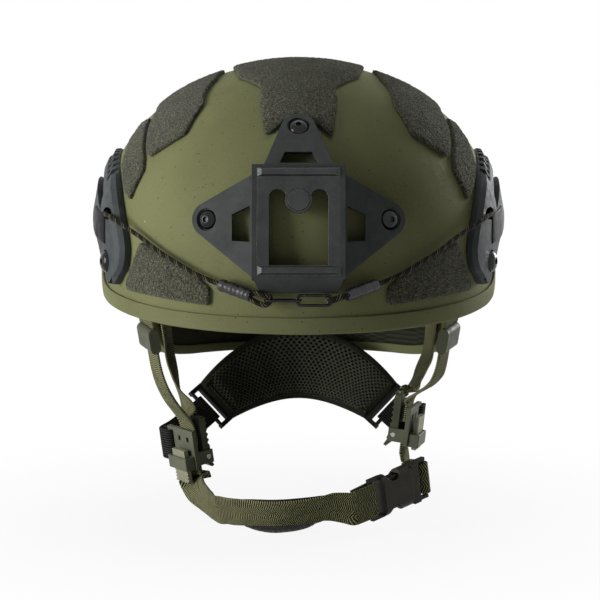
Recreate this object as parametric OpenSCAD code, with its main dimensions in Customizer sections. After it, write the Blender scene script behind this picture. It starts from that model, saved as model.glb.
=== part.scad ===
// High-cut protective helmet with front shroud, side rails, lanyards, liner and four-point harness.
// Millimetres. X runs to the wearer's left, the brow faces -Y, and Z = 0 is the brow rim.
// Left and right are the wearer's. Pieces in pairs are drawn on the left and mirrored.

/* [Shell] */
// Outside width of the shell
shell_w = 236; // [228:1:244]
// Outside length of the shell, brow to back
shell_l = 282; // [272:1:292]
// Height of the dome above the widest line
dome_h = 95; // [90:1:100]
// Height of the widest line above the brow rim
waist_z = 57; // [54:1:60]
// Thickness of the laminate wall
wall = 8; // [6:0.5:9]
// Height of the ear cut above the brow rim
ear_cut = 54; // [48:1:57]
// Drop of the rear skirt below the brow rim
skirt_drop = 38; // [32:1:42]

/* [Edge trim] */
// Height of the trim's outer leg
trim_h = 9; // [6:0.5:10]
// Height of the trim's inner leg
trim_inner_h = 6; // [4:0.5:8]
// Thickness of the trim rubber
trim_t = 1.3; // [0.8:0.1:1.8]

/* [Loop patches] */
// Thickness of a loop patch
patch_t = 2.2; // [1.5:0.1:3]

/* [Liner] */
// Thickness of a liner pad at its edge
pad_t = 17; // [12:1:20]
// Extra thickness of a pad at its crown
pad_crown = 2; // [0:0.5:3]
// Radius of a hook disc
disc_r = 15; // [10:1:17]
// Thickness of a hook disc
disc_t = 1.4; // [0.8:0.1:1.8]

/* [Shroud] */
// Height of the shroud plate's centre above the brow rim
shroud_z = 60.5; // [58:0.5:63]
// Distance of the plate's front from the brow
plate_standoff = 9.5; // [9:0.5:12]
// Lean of the plate from upright, in degrees
plate_tilt = 8; // [6:0.5:10]
// Width of the metal plate
plate_w = 43.8; // [40:0.2:48]
// Height of the metal plate
plate_h = 57; // [54:0.5:59]
// Thickness of the metal plate
plate_t = 3.6; // [2.5:0.1:4.5]
// Width of the plate's window
window_w = 31; // [26:0.5:33]
// Height of the plate's window
window_h = 40; // [34:0.5:42]
// Radius of the plug in the tab
plug_r = 5.8; // [4.5:0.1:6.2]
// Thickness of the frame's side walls
bezel_t = 2.6; // [2:0.1:3.5]
// Distance of a side screw from the middle plane
side_screw_x = 46.5; // [44:0.5:49]
// Height of the top screw above the plate's centre
top_screw_up = 47; // [45:0.5:49]
// Radius of a screw lobe
lobe_r = 9; // [8:0.5:10]
// Thickness of a screw lobe
lobe_t = 5; // [4:0.5:6]

/* [Fasteners] */
// Radius of a screw's shank
screw_r = 2.5; // [2:0.1:3]
// Radius of a screw's head
head_r = 5.4; // [4.5:0.1:6]
// Height of a screw's domed head
head_h = 2.8; // [2:0.1:3.5]
// Radius of a nut's post in the wall
post_r = 3.8; // [3.5:0.1:4.5]
// Radius of a nut's flange
flange_r = 7.6; // [6.5:0.1:8.5]

/* [Rails] */
// Height of a rail above the shell
rail_t = 6.5; // [5.5:0.1:7.5]
// Width of the rail's groove at its mouth
groove_w = 8; // [6:0.5:10]
// Depth of the rail's groove
groove_d = 3.4; // [2.5:0.1:4]
// Width of one tooth gap
tooth_gap = 3.2; // [2.5:0.1:3.6]
// Number of tooth gaps in a rail
tooth_count = 11; // [8:1:13]
// Radius of the rear accessory hole
eye_r = 2.3; // [2:0.1:2.6]

/* [Lanyards] */
// Diameter of the bungee cord
cord_d = 3; // [2.4:0.1:3.4]
// Radius of a crimp sleeve
sleeve_r = 3.4; // [3:0.1:4]
// Length of a crimp sleeve
sleeve_l = 18; // [15:0.5:20]
// Length of a hook
hook_l = 20; // [18:0.5:22]
// Diameter of the hook wire
wire_d = 1.6; // [1.3:0.1:1.8]

/* [Webbing] */
// Width of the side webbing
web_w = 18; // [15:0.5:19]
// Thickness of the side webbing
web_t = 1.6; // [1.2:0.1:1.8]
// Width of the chin webbing
chin_w = 20; // [17:0.5:21]
// Thickness of the chin webbing
chin_t = 1.8; // [1.4:0.1:2.2]

/* [Strap slides] */
// Length of an oval strap slide along the webbing
slide_h = 15; // [12:0.5:18]
// Travel of a strap slide each way
slide_travel = 6; // [3:1:7]

/* [Adjusters] */
// Sideways place of an adjuster
adj_x = 67; // [65:0.5:69]
// Fore and aft place of an adjuster
adj_y = -18; // [-20:0.5:-16]
// Height of the left adjuster
adj_z_left = -66; // [-69:0.5:-63]
// Height of the right adjuster
adj_z_right = -80; // [-82:0.5:-77]
// Width of an adjuster
adj_w = 24; // [22:0.5:26]
// Length of an adjuster plate
adj_l = 28; // [26:0.5:30]
// Thickness of an adjuster plate
adj_t = 2.6; // [2:0.1:3]
// Length of the thumb lever
lever_l = 35; // [31:0.5:37]
// Thickness of the thumb lever
lever_t = 4.6; // [4:0.1:5]
// Radius of the lever's pin
pin_r = 1.5; // [1.2:0.1:1.8]

/* [Nape pad] */
// Half of the pad's span, end to end
nape_half = 55; // [50:0.5:58]
// Height of the pad at its middle
nape_h = 48; // [42:0.5:52]
// Height of the pad at its ends
nape_end_h = 31; // [28:0.5:34]
// Thickness of the pad
nape_t = 11; // [9:0.5:12]

/* [Chin] */
// Height of the chin cup at its middle
cup_h = 28; // [24:0.5:32]
// Thickness of the chin cup
cup_t = 4; // [3:0.2:5]

/* [Buckle] */
// Length of the female half
buckle_l = 24; // [22:0.5:26]
// Thickness of the buckle
buckle_t = 9; // [8:0.5:10]
// Travel of the buckle's release
release_travel = 26; // [22:1:28]

/* [Hidden] */
$fn = 40;

// Clearances: beside a curved face, beside a flat one, and round a moving fit
gap = 0.35;
flat_gap = 0.3;
trim_gap = 0.25;
fit = 0.1;
e = 1;

// Half sizes of the shell
hw = shell_w / 2;
hl = shell_l / 2;

// Azimuths of the shell's columns, closer together round the ear cuts
half_cols = [for (a = [0 : 6 : 72]) a, for (a = [76 : 4 : 132]) a, for (a = [138 : 6 : 180]) a];
cols = [for (a = half_cols) a, for (i = [len(half_cols) - 2 : -1 : 1]) 360 - half_cols[i]];

// Rim heights by azimuth, as shares of the ear cut above zero and of the skirt drop below it
rim_shares = [[0, 0], [20, 0.012], [36, 0.04], [50, 0.085], [60, 0.13], [70, 0.18], [77, 0.26],
    [82, 0.42], [87, 0.64], [92, 0.86], [97, 0.98], [101, 1], [105, 0.93], [109, 0.7],
    [113, 0.32], [116, -0.05], [118, -0.3], [120, -0.52], [124, -0.83], [129, -0.95],
    [136, -1], [180, -1]];

// Vector helpers
function unit(v) = v / norm(v);
function blend(a, b, t) = a + (b - a) * t;
function curve_at(a, b, c, d, t) =
    (2 * b + (c - a) * t + (2 * a - 5 * b + 4 * c - d) * t * t
    + (3 * b - a - 3 * c + d) * t * t * t) / 2;
// Smooth curve through every point, with n steps between two points
function curve(p, n) = let (m = len(p) - 1) [
    for (i = [0 : m - 1], k = [0 : n - 1])
        curve_at(p[max(i - 1, 0)], p[i], p[i + 1], p[min(i + 2, m)], k / n),
    p[m]];
function tangent(p, i) = unit(p[min(i + 1, len(p) - 1)] - p[max(i - 1, 0)]);
function mean(p) = [for (v = p) 1] * p / len(p);

// Point of the shell at azimuth a and latitude s, off proud of its outer face
function on(a, s, off = 0) = s > 0
    ? [(hw + off) * cos(s) * sin(a), -(hl + off) * cos(s) * cos(a),
        waist_z + (dome_h + off) * sin(s)]
    : [(hw + off) * sin(a), -(hl + off) * cos(a), waist_z + dome_h * s * PI / 180];
// Point of the dome over plan point q
function over(q, off = 0) =
    let (h = sqrt(1 - pow(q[0] / hw, 2) - pow(q[1] / hl, 2)))
    [q[0] * (1 + off / hw), q[1] * (1 + off / hl), waist_z + (dome_h + off) * h];
// Latitude of a height
function lat(z) = z > waist_z ? asin((z - waist_z) / dome_h) : (z - waist_z) / dome_h * 180 / PI;
// Outward direction of the shell
function out(a, s) = unit([cos(s) * sin(a) / hw, -cos(s) * cos(a) / hl,
    s > 0 ? sin(s) / dome_h : 0]);
function along(a, s) = unit([cos(a) * hw, sin(a) * hl, 0]);
// Millimetres in a degree of azimuth and of latitude
function deg_a(a, s) = norm([hw * cos(a), hl * sin(a)]) * cos(max(s, 0)) * PI / 180;
deg_s = dome_h * PI / 180;
// Surface coordinates du mm round and dv mm up from q = [azimuth, latitude]
function moved(q, du, dv) = [q[0] + du / deg_a(q[0], q[1]), q[1] + dv / deg_s];

// Height of the rim, smoothed over a few degrees
function side_angle(a) = let (b = a > 180 ? 360 - a : a) min(max(b, 0), 180);
function rim_raw(a) = let (f = lookup(side_angle(a), rim_shares)) f * (f > 0 ? ear_cut : skirt_drop);
function rim_z(a) = (rim_raw(a - 3) + rim_raw(a - 1.5) + rim_raw(a) + rim_raw(a + 1.5)
    + rim_raw(a + 3)) / 5;
// Surface coordinates w mm in from the rim, square to it
function rim_in(a, w) = let (
        q = [a, lat(rim_z(a))],
        d = [2 * deg_a(a, 0), rim_z(a + 1) - rim_z(a - 1)] / norm([2 * deg_a(a, 0),
            rim_z(a + 1) - rim_z(a - 1)]))
    moved(q, -w * d[1], w * d[0]);

// Closed skin over rings of points, each counter-clockwise seen from the last ring
module skin(rings) {
    m = len(rings);
    n = len(rings[0]);
    points = [mean(rings[0]), for (r = rings, p = r) p, mean(rings[m - 1])];
    function id(i, j) = 1 + i * n + j % n;
    polyhedron(points, [
        for (j = [0 : n - 1]) [0, id(0, j), id(0, j + 1)],
        for (i = [0 : m - 2], j = [0 : n - 1]) [id(i, j), id(i + 1, j), id(i + 1, j + 1)],
        for (i = [0 : m - 2], j = [0 : n - 1]) [id(i, j), id(i + 1, j + 1), id(i, j + 1)],
        for (j = [0 : n - 1]) [1 + m * n, id(m - 1, j + 1), id(m - 1, j)]]);
}

// Closed hoop of sections, the last joined to the first
module hoop(sections) {
    m = len(sections);
    n = len(sections[0]);
    function id(i, j) = (i % m) * n + j % n;
    polyhedron([for (r = sections, p = r) p], [
        for (i = [0 : m - 1], j = [0 : n - 1]) [id(i, j), id(i + 1, j), id(i + 1, j + 1)],
        for (i = [0 : m - 1], j = [0 : n - 1]) [id(i, j), id(i + 1, j + 1), id(i, j + 1)]]);
}

// Round tube along points
module tube(p, r, sides = 8) {
    skin([for (i = [0 : len(p) - 1]) let (t = tangent(p, i),
            u = unit(cross(t, cross([0, 0, 1], t))), v = cross(t, u))
        [for (k = [0 : sides - 1]) p[i] + r * (u * cos(k * 360 / sides) + v * sin(k * 360 / sides))]]);
}

// Flat webbing of width w and thickness t along points, with its width along ups
module webbing(p, ups, w, t) {
    skin([for (i = [0 : len(p) - 1]) let (d = tangent(p, i),
            u = unit(ups[i] - d * (ups[i] * d)), v = cross(d, u))
        [for (c = [[1, -1], [1, 1], [-1, 1], [-1, -1]]) p[i] + u * c[0] * w / 2 + v * c[1] * t / 2]]);
}

// Points of webbing that comes in along d, goes round a bar at o and doubles back on side n
function round_bar(o, d, n, r, tail) = [o - d * (r + tail) + n * r * 0.62, for (k = [90 : -36 : -90])
    o + r * (d * cos(k) + n * sin(k)), o - d * (r + tail) - n * r * 0.55];
function turned(p) = [for (i = [len(p) - 1 : -1 : 0]) p[i]];

// Children moved to origin o, with local z along z and local y as near y as it can be
module placed(o, z, y) {
    c = unit(z);
    b = unit(y - c * (y * c));
    a = cross(b, c);
    multmatrix([[a[0], b[0], c[0], o[0]], [a[1], b[1], c[1], o[1]], [a[2], b[2], c[2], o[2]],
        [0, 0, 0, 1]]) children();
}
// Children on the shell's outer face, local z outward and local y up
module on_shell(q, off = 0) placed(on(q[0], q[1]), out(q[0], q[1]), [0, 0, 1])
    translate([0, 0, off]) children();
module left_and_right() {
    children();
    mirror([1, 0, 0]) children();
}

// Shell
function level(a, t) = let (r = rim_in(a, trim_t + trim_gap))
    [blend(r[0], a, min(1, 3 * t)), blend(r[1], 90, t)];
outer_levels = [for (i = [0 : 15]) i / 16];
inner_levels = [for (i = [13 : -1 : 0]) i / 14];
shroud_top = [0, lat(shroud_z + top_screw_up * cos(plate_tilt))];
shroud_side = [asin(side_screw_x / hw), lat(shroud_z)];
rail_front = [62.5, -13.5];
rail_rear = [121, -13.5];
wall_bolts = [shroud_top, shroud_side, -shroud_side + [0, 2 * shroud_side[1]], rail_front,
    [-rail_front[0], rail_front[1]], rail_rear, [-rail_rear[0], rail_rear[1]]];
module shell() {
    color("olivedrab") difference() {
        skin([
            for (t = inner_levels) [for (a = cols) let (q = level(a, t)) on(q[0], q[1], -wall)],
            for (t = outer_levels) [for (a = cols) let (q = level(a, t)) on(q[0], q[1])]]);
        for (b = wall_bolts) on_shell(b, -2 * wall) cylinder(r = post_r + fit, h = 3 * wall);
    }
}

// Rubber channel over the rim
trim_inside = -wall - trim_gap;
trim_section = [[0, trim_inside - trim_t], [trim_inner_h, trim_inside - trim_t],
    [trim_inner_h, trim_inside], [trim_t, trim_inside], [trim_t, trim_gap], [trim_h, trim_gap],
    [trim_h, trim_gap + trim_t], [0, trim_gap + trim_t]];
module edge_trim() {
    color("darkolivegreen") hoop([for (a = cols)
        [for (c = trim_section) let (q = rim_in(a, c[0])) on(q[0], q[1], c[1])]]);
}

// Corners joined by straight edges of n parts
function edges(p, n) = [for (i = [0 : len(p) - 1], k = [0 : n - 1])
    blend(p[i], p[(i + 1) % len(p)], k / n)];
// Plate bent on the shell: outline in [azimuth, latitude], or in plan where flat is true. Its
// back stands off by lift inside its edge, so that its flat facets stay clear of the wall.
module bent_plate(outline, low, high, steps, flat = false, lift = 0) {
    c = mean(outline);
    function share(k) = flat ? sin(90 * k / steps) : k / steps;
    function spot(q, f, off) = flat ? over(blend(c, q, f), off)
        : let (s = blend(c, q, f)) on(s[0], s[1], off);
    skin([
        for (k = [1 : steps]) [for (q = outline) spot(q, share(k), low + (k < steps ? lift : 0))],
        for (k = [steps : -1 : 1]) [for (q = outline) spot(q, share(k) * (k == steps ? 0.985 : 1), high)]]);
}

crown_shares = [[0, -0.780], [0.153, -0.858], [0.178, -0.688], [0.169, -0.596], [0.288, -0.426], [0.322, -0.199],
    [0.322, 0.085], [0.22, 0.241], [0.203, 0.440], [0.102, 0.525], [0, 0.468]];
crown_half = [for (p = crown_shares) [p[0] * hw, p[1] * hl]];
crown_outline = [for (p = crown_half) p, for (i = [len(crown_half) - 2 : -1 : 1])
    [-crown_half[i][0], crown_half[i][1]]];
upper_outline = [[37, 30.5], [47, 23.5], [55, 29], [66, 37], [79, 42], [80, 56], [64, 66],
    [50, 59], [38, 43.5]];
side_outline = [[52, 8], [60, 18], [70, 32], [64, 34.5], [54, 26.5], [50, 22]];
brow_outline = [[23.5, -25.5], [38, -24], [54, -22.5], [54, -19.5], [47, -6], [28, -15.5],
    [23.5, -20]];
rear_outline = [[157, -32], [203, -32], [205, 2], [192, 18], [168, 18], [155, 2]];
rear_side_outline = [[118, 22], [146, 8], [150, 40], [130, 52], [112, 40]];
module patch(outline, parts, steps, flat = false)
    color("darkolivegreen") bent_plate(edges(outline, parts), gap, gap + patch_t, steps, flat, 0.35);
module crown_patch() patch(crown_outline, 2, 7, true);
module upper_patches() left_and_right() patch(upper_outline, 3, 3);
module side_patches() left_and_right() patch(side_outline, 3, 2);
module brow_patches() left_and_right() patch(brow_outline, 3, 3);
module rear_patch() patch(rear_outline, 6, 4);
module rear_side_patches() left_and_right() patch(rear_side_outline, 4, 3);

// Liner: crowned pads with sides drawn in between their corners
disc_gap = 0.7;
pad_back = -wall - disc_gap - disc_t - 0.9;
pad_rings = [[0.5, 0], [0.9, 0], [0.985, 0.12], [1, 0.45], [0.97, 0.8], [0.86, 0.96],
    [0.6, 1]];
function pillow(u, v) = [for (k = [0 : 23]) let (c = cos(k * 15), s = sin(k * 15),
        pinch = 1 - 0.03 * (1 + cos(4 * k * 15)))
    [u * sign(c) * pow(abs(c), 0.6), v * sign(s) * pow(abs(s), 0.6)] * pinch];
module pad(q, u, v, flat = false) {
    module_points = pillow(u, v);
    function spot(p, f, off) = flat ? over([q[0] + p[0] * f, q[1] + p[1] * f], off)
        : let (s = moved(q, p[0] * f, p[1] * f)) on(s[0], s[1], off);
    skin([for (i = [len(pad_rings) - 1 : -1 : 0]) let (r = pad_rings[i])
        [for (p = module_points) spot(p, r[0], pad_back - r[1] * pad_t - (r[0] < 0.9 && r[1] > 0.5
            ? pad_crown * (1 - r[0] * r[0]) : 0))]]);
}
module crown_pad() color("dimgray") pad([0, 4], 52, 58, true);
module front_pad() color("dimgray") pad([0, -16], 48, 26);
rear_pad_s = -20.5;
rear_pad_v = 27;
module rear_pad() color("dimgray") pad([180, rear_pad_s], 36, rear_pad_v);
module front_side_pads() color("dimgray") left_and_right() pad([42, 6], 20, 34);
module rear_side_pads() color("dimgray") left_and_right() pad([144, -20], 27, 46);
disc_spots = [[0, -16], [180, -22], [42, -8], [-42, -8], [42, 18], [-42, 18], [144, -38],
    [-144, -38], [144, -6], [-144, -6]];
module disc(q, flat = false) color("black") bent_plate([for (k = [0 : 11])
    let (d = disc_r * [cos(k * 30), sin(k * 30)]) flat ? q + d : moved(q, d[0], d[1])],
    -wall - disc_gap - disc_t, -wall - disc_gap, 2, flat);
module hook_discs() {
    for (q = disc_spots) disc(q);
    for (q = [[-24, 4], [24, 4]]) disc(q, true);
}

// Shroud: local x across, local y up the plate, local z outward, zero at the plate's lips
module at_plate() placed([0, -hl - plate_standoff, shroud_z],
    [0, -cos(plate_tilt), sin(plate_tilt)], [0, 0, 1]) children();
frame_depth = 15;
bezel_w = plate_w + 2 * bezel_t;
bezel_top = plate_h / 2 + bezel_t - 1;
bezel_low = -plate_h / 2 - bezel_t + 1;
chin_drop = 6.5;
lip_h = 4.6;
lip_rise = 1.8;
lobe_x = side_screw_x;
// Solid that fills the shell's outside, cut away from the back of what sits on it
module shell_form(a0, a1, s0, s1, step) {
    skin([for (s = [s0 : step : s1]) [for (a = [a0 : step : a1]) on(a, s, gap), on(a1, s, -30),
        on(a0, s, -30)]]);
}
module arm(q, slab, at) hull() {
    on_shell(q, -e) cylinder(r = lobe_r, h = lobe_t + e);
    at_plate() translate(at) cube(slab, center = true);
}
module shroud_frame() {
    color("dimgray") difference() {
        union() {
            at_plate() translate([-bezel_w / 2, bezel_low, -frame_depth])
                cube([bezel_w, bezel_top - bezel_low, frame_depth - lip_rise]);
            arm(shroud_top, [plate_w - 7, 3, 9], [0, bezel_top - 2, -7.5]);
            left_and_right() arm(shroud_side, [3, plate_h - 3, 9], [bezel_w / 2 - 2, -2, -7.5]);
            hull() {
                at_plate() translate([-bezel_w / 2 + 1, bezel_low, -frame_depth])
                    cube([bezel_w - 2, e, frame_depth - lip_rise]);
                at_plate() translate([-bezel_w / 2 + 4, bezel_low - chin_drop, -frame_depth])
                    cube([bezel_w - 8, e, 4]);
            }
        }
        shell_form(-36, 36, -36, 48, 4);
        at_plate() {
            translate([-plate_w / 2 - fit, -plate_h / 2 - fit, -lip_rise - plate_t])
                cube([plate_w + 2 * fit, plate_h + 2 * fit, frame_depth]);
            translate([-window_w / 2 - 2.5, -plate_h / 2 + 4, -2 * frame_depth])
                cube([window_w + 5, plate_h - 8, 2 * frame_depth]);
            translate([0, bezel_top + e, -2 * frame_depth])
                linear_extrude(3 * frame_depth) polygon([[-10, 0], [10, 0], [7.2, 6.5], [-7.2, 6.5]]);
            for (s = [-1, 1]) scale([s, 1, 1]) translate([bezel_w / 2 + 1, -2, -2 * frame_depth])
                linear_extrude(3 * frame_depth) polygon([[0, -8.5], [9.5, -7.5], [9.5, 6.5], [0, 10.5]]);
        }
        for (b = [shroud_top, shroud_side, [-shroud_side[0], shroud_side[1]]]) on_shell(b, -e) {
            cylinder(r = screw_r + 0.2, h = 20);
            translate([0, 0, e + lobe_t - 1]) cylinder(r = head_r + 0.6, h = 12);
        }
    }
}
module insert_window() {
    tab_r = plug_r + 1.2;
    notch = (window_w - 2 * tab_r) / 2 + 0.6;
    difference() {
        translate([0, -window_h / 2 + 17]) union() {
            translate([0, -notch / 2]) square([window_w, window_h - notch], center = true);
            for (s = [-1, 1]) translate([s * (window_w - notch) / 2, window_h / 2 - notch / 2])
                circle(d = notch);
            for (s = [-1, 1]) translate([s * (window_w - notch) / 2, window_h / 2 - notch])
                square([notch, notch], center = true);
        }
        translate([0, 11.5]) circle(r = tab_r);
        translate([0, 17]) square([2 * tab_r - 1.5, 9], center = true);
    }
}
module lip(y) hull() {
    translate([-plate_w / 2 + 0.4, y - lip_h / 2, -lip_rise - 0.2]) cube([plate_w - 0.8, lip_h, 0.2]);
    translate([-plate_w / 2 + 2.6, y - lip_h / 2 + 0.9, -0.2]) cube([plate_w - 5.2, lip_h - 1.8, 0.2]);
}
module shroud_insert() {
    color("slategray") at_plate() {
        difference() {
            union() {
                translate([-plate_w / 2, -plate_h / 2, -lip_rise - plate_t + fit])
                    cube([plate_w, plate_h, plate_t - fit]);
                lip(plate_h / 2 - lip_h / 2 - 0.2);
                lip(-plate_h / 2 + lip_h / 2 + 0.6);
            }
            translate([0, 0, -frame_depth]) linear_extrude(2 * frame_depth) insert_window();
            translate([0, 11.5, -frame_depth]) cylinder(r = plug_r + fit, h = 2 * frame_depth);
        }
    }
}
module insert_plug() {
    color("gray") at_plate() translate([0, 11.5, -lip_rise - plate_t + fit])
        cylinder(r = plug_r, h = plate_t + 0.4);
}

// Domed socket screw, local z = 0 under its head
module screw(l) {
    dome_r = (head_r * head_r + head_h * head_h) / (2 * head_h);
    difference() {
        union() {
            intersection() {
                translate([0, 0, head_h - dome_r]) sphere(r = dome_r);
                cylinder(r = head_r, h = head_h + e);
            }
            translate([0, 0, -l]) cylinder(r = screw_r, h = l);
        }
        translate([0, 0, head_h - 1.9]) cylinder(r = 1.7, h = 3, $fn = 6);
    }
}
// Nut with a post in the wall, local z = 0 at the shell's outer face
module nut(depth) difference() {
    union() {
        translate([0, 0, -depth]) cylinder(r = post_r, h = depth - 0.5);
        translate([0, 0, -depth - flange_t]) cylinder(r = flange_r, h = flange_t);
    }
    translate([0, 0, -depth - 2 * wall]) cylinder(r = screw_r + fit, h = 4 * wall);
}
flange_t = 1.6;
flange_depth = wall + 1;
tab_t = 1.4;
tab_depth = flange_depth + tab_t + 2 * fit;
module shroud_screws() {
    color("darkslategray") for (b = [shroud_top, shroud_side, [-shroud_side[0], shroud_side[1]]])
        on_shell(b, lobe_t - 1) screw(lobe_t + wall - 1);
}
module shroud_nuts() {
    color("silver") for (b = [shroud_top, shroud_side, [-shroud_side[0], shroud_side[1]]])
        on_shell(b) nut(flange_depth);
}

// Rails: [azimuth, latitude, half width, share of the groove] along the middle line
rail_route = [[54.5, -18.5, 5, 0], [56, -15, 11, 0], [59, -6, 17.5, 0], [64, 3, 18, 0],
    [71, 11, 16.5, 1], [80, 16.5, 16, 1], [90, 18, 15.5, 1], [100, 15.5, 14.5, 1],
    [109, 8.5, 13, 1], [115.5, -1, 12, 1], [120, -10, 11, 0], [122.5, -16.5, 8, 0],
    [123.5, -19.5, 4, 0]];
rail_line = curve(rail_route, 2);
function rail_step(i) = let (p = rail_line, a = p[max(i - 1, 0)], b = p[min(i + 1, len(p) - 1)])
    unit([(b[0] - a[0]) * deg_a(a[0], a[1]), (b[1] - a[1]) * deg_s]);
// Surface point u mm above the rail's middle line, h proud
function rail_at(i, u, h) = let (d = rail_step(i), q = moved(rail_line[i], -d[1] * u, d[0] * u))
    on(q[0], q[1], h);
function rail_section(i) = let (w = rail_line[i][2], g = max(0, min(1, rail_line[i][3])),
        m = min(groove_w / 2, w / 3), b = rail_t - groove_d * g)
    [[w, gap], [w, rail_t - 2], [w - 1.5, rail_t], [m, rail_t], [m + 1.2 * g, b],
        [-m - 1.2 * g, b], [-m, rail_t], [-w + 1.5, rail_t], [-w, rail_t - 2], [-w, gap],
        [-w / 3, gap], [w / 3, gap]];
module rail_frame(i, u, h) placed(rail_at(i, u, h), out(rail_line[i][0], rail_line[i][1]),
    rail_at(i, u + 1, h) - rail_at(i, u, h)) children();
eye = [115, 0];
// The cord leaves its rail through a slanted hole
cord_in = on(66, 3.4, gap + 0.6);
cord_out = on(60, 2.8, rail_t + cord_d);
module rail() {
    difference() {
        skin([for (i = [0 : len(rail_line) - 1])
            [for (c = rail_section(i)) rail_at(i, c[0], c[1])]]);
        for (q = [rail_front, rail_rear]) on_shell(q, -e) {
            cylinder(r = screw_r + 0.2, h = 20);
            translate([0, 0, e + rail_t - 2]) cylinder(r = head_r + 0.6, h = 12);
        }
        placed(cord_in, cord_out - cord_in, [0, 0, 1])
            cylinder(r = cord_d / 2 + 0.6, h = 3 * rail_t);
        on_shell(eye, rail_t - groove_d - 2.6) cylinder(r = eye_r, h = 20);
        rail_frame(6, -6, rail_t - 2.6) translate([-3, -11, 0]) cube([6, 22, 10]);
        for (k = [0 : tooth_count - 1]) let (i = 8 + k)
            rail_frame(i, rail_line[i][2] - 3.4, rail_t - 2.4)
                translate([-tooth_gap / 2, -2, 0]) cube([tooth_gap, 12, 10]);
    }
}
module rail_left() color("dimgray") rail();
module rail_right() color("dimgray") mirror([1, 0, 0]) rail();
module rail_screws() {
    color("darkslategray") left_and_right() for (q = [rail_front, rail_rear])
        on_shell(q, rail_t - 2) screw(rail_t + wall - 1.2);
}
module rail_nuts() {
    color("silver") left_and_right() for (q = [rail_front, rail_rear]) on_shell(q) nut(tab_depth);
}
// Strap anchors: plates sewn into the ends of the webbing
tab_low = web_w / 2 + 2;
module anchor_tabs() {
    color("black") left_and_right() for (q = [rail_front, rail_rear])
        on_shell(q, -flange_depth - fit - tab_t) difference() {
            union() {
                cylinder(r = web_w / 2, h = tab_t);
                translate([-web_w / 2, -tab_low, 0]) cube([web_w, tab_low, tab_t]);
            }
            translate([0, 0, -e]) cylinder(r = post_r + fit, h = tab_t + 2 * e);
        }
}

// Lanyards: the cord leaves its rail, lies along the shell and ends in a sleeve with an eye
chain_y = -hl - 6.2;
chain_drop = 4.47;
chain_z = shroud_z - (plate_h / 2 + bezel_t + chin_drop) * cos(plate_tilt) - chain_drop;
hook_r = 3.4;
sleeve_end = [25, chain_y + 1.6, chain_z + 2.4];
cord_route = [on(57, 2.2, rail_t + 2.6), on(53.5, 0.8, rail_t + 2.2), on(49.5, -1.6, 6.2), on(45, -4.2, 4.9),
    on(38.5, -8.4, 4.7), on(31.5, lat(chain_z + 17.6), 4.8), on(25.5, lat(chain_z + 11.8), 4.8)];
sleeve_start = on(19.8, lat(chain_z + 7.7), 4.9);
sleeve_dir = unit(sleeve_end - sleeve_start);
module cord() {
    tube(curve([cord_in + 0.25 * (cord_out - cord_in), blend(cord_in, cord_out, 0.62),
        blend(cord_in, cord_out, 0.95) - [0, 0, 0.2], for (p = cord_route) p,
        sleeve_start - sleeve_dir * 0.2], 3), cord_d / 2);
}
module cord_left() color("black") cord();
module cord_right() color("black") mirror([1, 0, 0]) cord();
module cord_sleeves() {
    color("black") left_and_right() placed(sleeve_start, sleeve_dir, [0, 0, 1])
        cylinder(r = sleeve_r, h = norm(sleeve_end - sleeve_start));
}
// Hooks: ovals of wire, with a gap for the gate; the left one stands up, the right one lies flat
hook_x = hook_l / 2 - wire_d - flat_gap / 2;
gate_from = -5;
gate_to = 5.5;
wire_y = hook_r - wire_d / 2;
function oval_arc(s) = [for (k = [-90 : 22.5 : 90])
    [s * (hook_l / 2 - hook_r + wire_y * cos(k)), -s * wire_y * sin(k) * -1, 0]];
oval = [[gate_to, wire_y, 0], for (k = [90 : -22.5 : -90])
        [hook_l / 2 - hook_r + wire_y * cos(k), wire_y * sin(k), 0],
    for (k = [-90 : -22.5 : -270]) [-hook_l / 2 + hook_r + wire_y * cos(k), wire_y * sin(k), 0],
    [gate_from, wire_y, 0]];
// Tube that stays in the local xy plane
module flat_tube(p, r, sides = 8) {
    skin([for (i = [0 : len(p) - 1]) let (t = tangent(p, i), u = [-t[1], t[0], 0])
        [for (k = [0 : sides - 1]) p[i] + r * (u * cos(k * 360 / sides) + [0, 0, 1] * sin(k * 360 / sides))]]);
}
module left_hook_place() translate([hook_x, chain_y, chain_z]) rotate([90, 0, 180]) children();
module right_hook_place() translate([-hook_x, chain_y, chain_z]) children();
module gate() translate([gate_from + flat_gap, wire_y, 0]) rotate([0, 90, 0])
    cylinder(d = wire_d, h = gate_to - gate_from - 2 * flat_gap, $fn = 16);
module hook_left() color("black") left_hook_place() flat_tube(oval, wire_d / 2);
module hook_right() color("black") right_hook_place() flat_tube(oval, wire_d / 2);
module gate_left() color("black") left_hook_place() gate();
module gate_right() color("black") right_hook_place() gate();
// Eyes: the cord's end goes round a hook's outer wire and back into its sleeve
eye_tip = hook_x + hook_l / 2 - wire_d - flat_gap - cord_d / 2;
eye_spread = wire_d / 2 + flat_gap + cord_d / 2;
eye_o = [hook_x + hook_l / 2, chain_y, chain_z];
eye_dir = unit(sleeve_end - eye_o);
function eye_path(v) = let (m = [hook_x + hook_l / 2 - wire_d / 2, chain_y, chain_z], s = eye_spread,
        w = unit(v - eye_dir * (v * eye_dir)), f = sleeve_end - eye_dir * 0.9)
    curve([f + w * 1.55, blend(f, m, 0.5) + w * (s - 0.25), m + w * s, [eye_tip + 0.8, chain_y, chain_z] + w * s * 0.72,
        [eye_tip, chain_y, chain_z], [eye_tip + 0.8, chain_y, chain_z] - w * s * 0.72, m - w * s,
        blend(f, m, 0.5) - w * (s - 0.25), f - w * 1.55], 2);
module bent_tube(p, v, r, sides = 8) {
    skin([for (i = [0 : len(p) - 1]) let (t = tangent(p, i), b = unit(v - t * (v * t)), u = cross(t, b))
        [for (k = [0 : sides - 1]) p[i] + r * (u * cos(k * 360 / sides) + b * sin(k * 360 / sides))]]);
}
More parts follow.
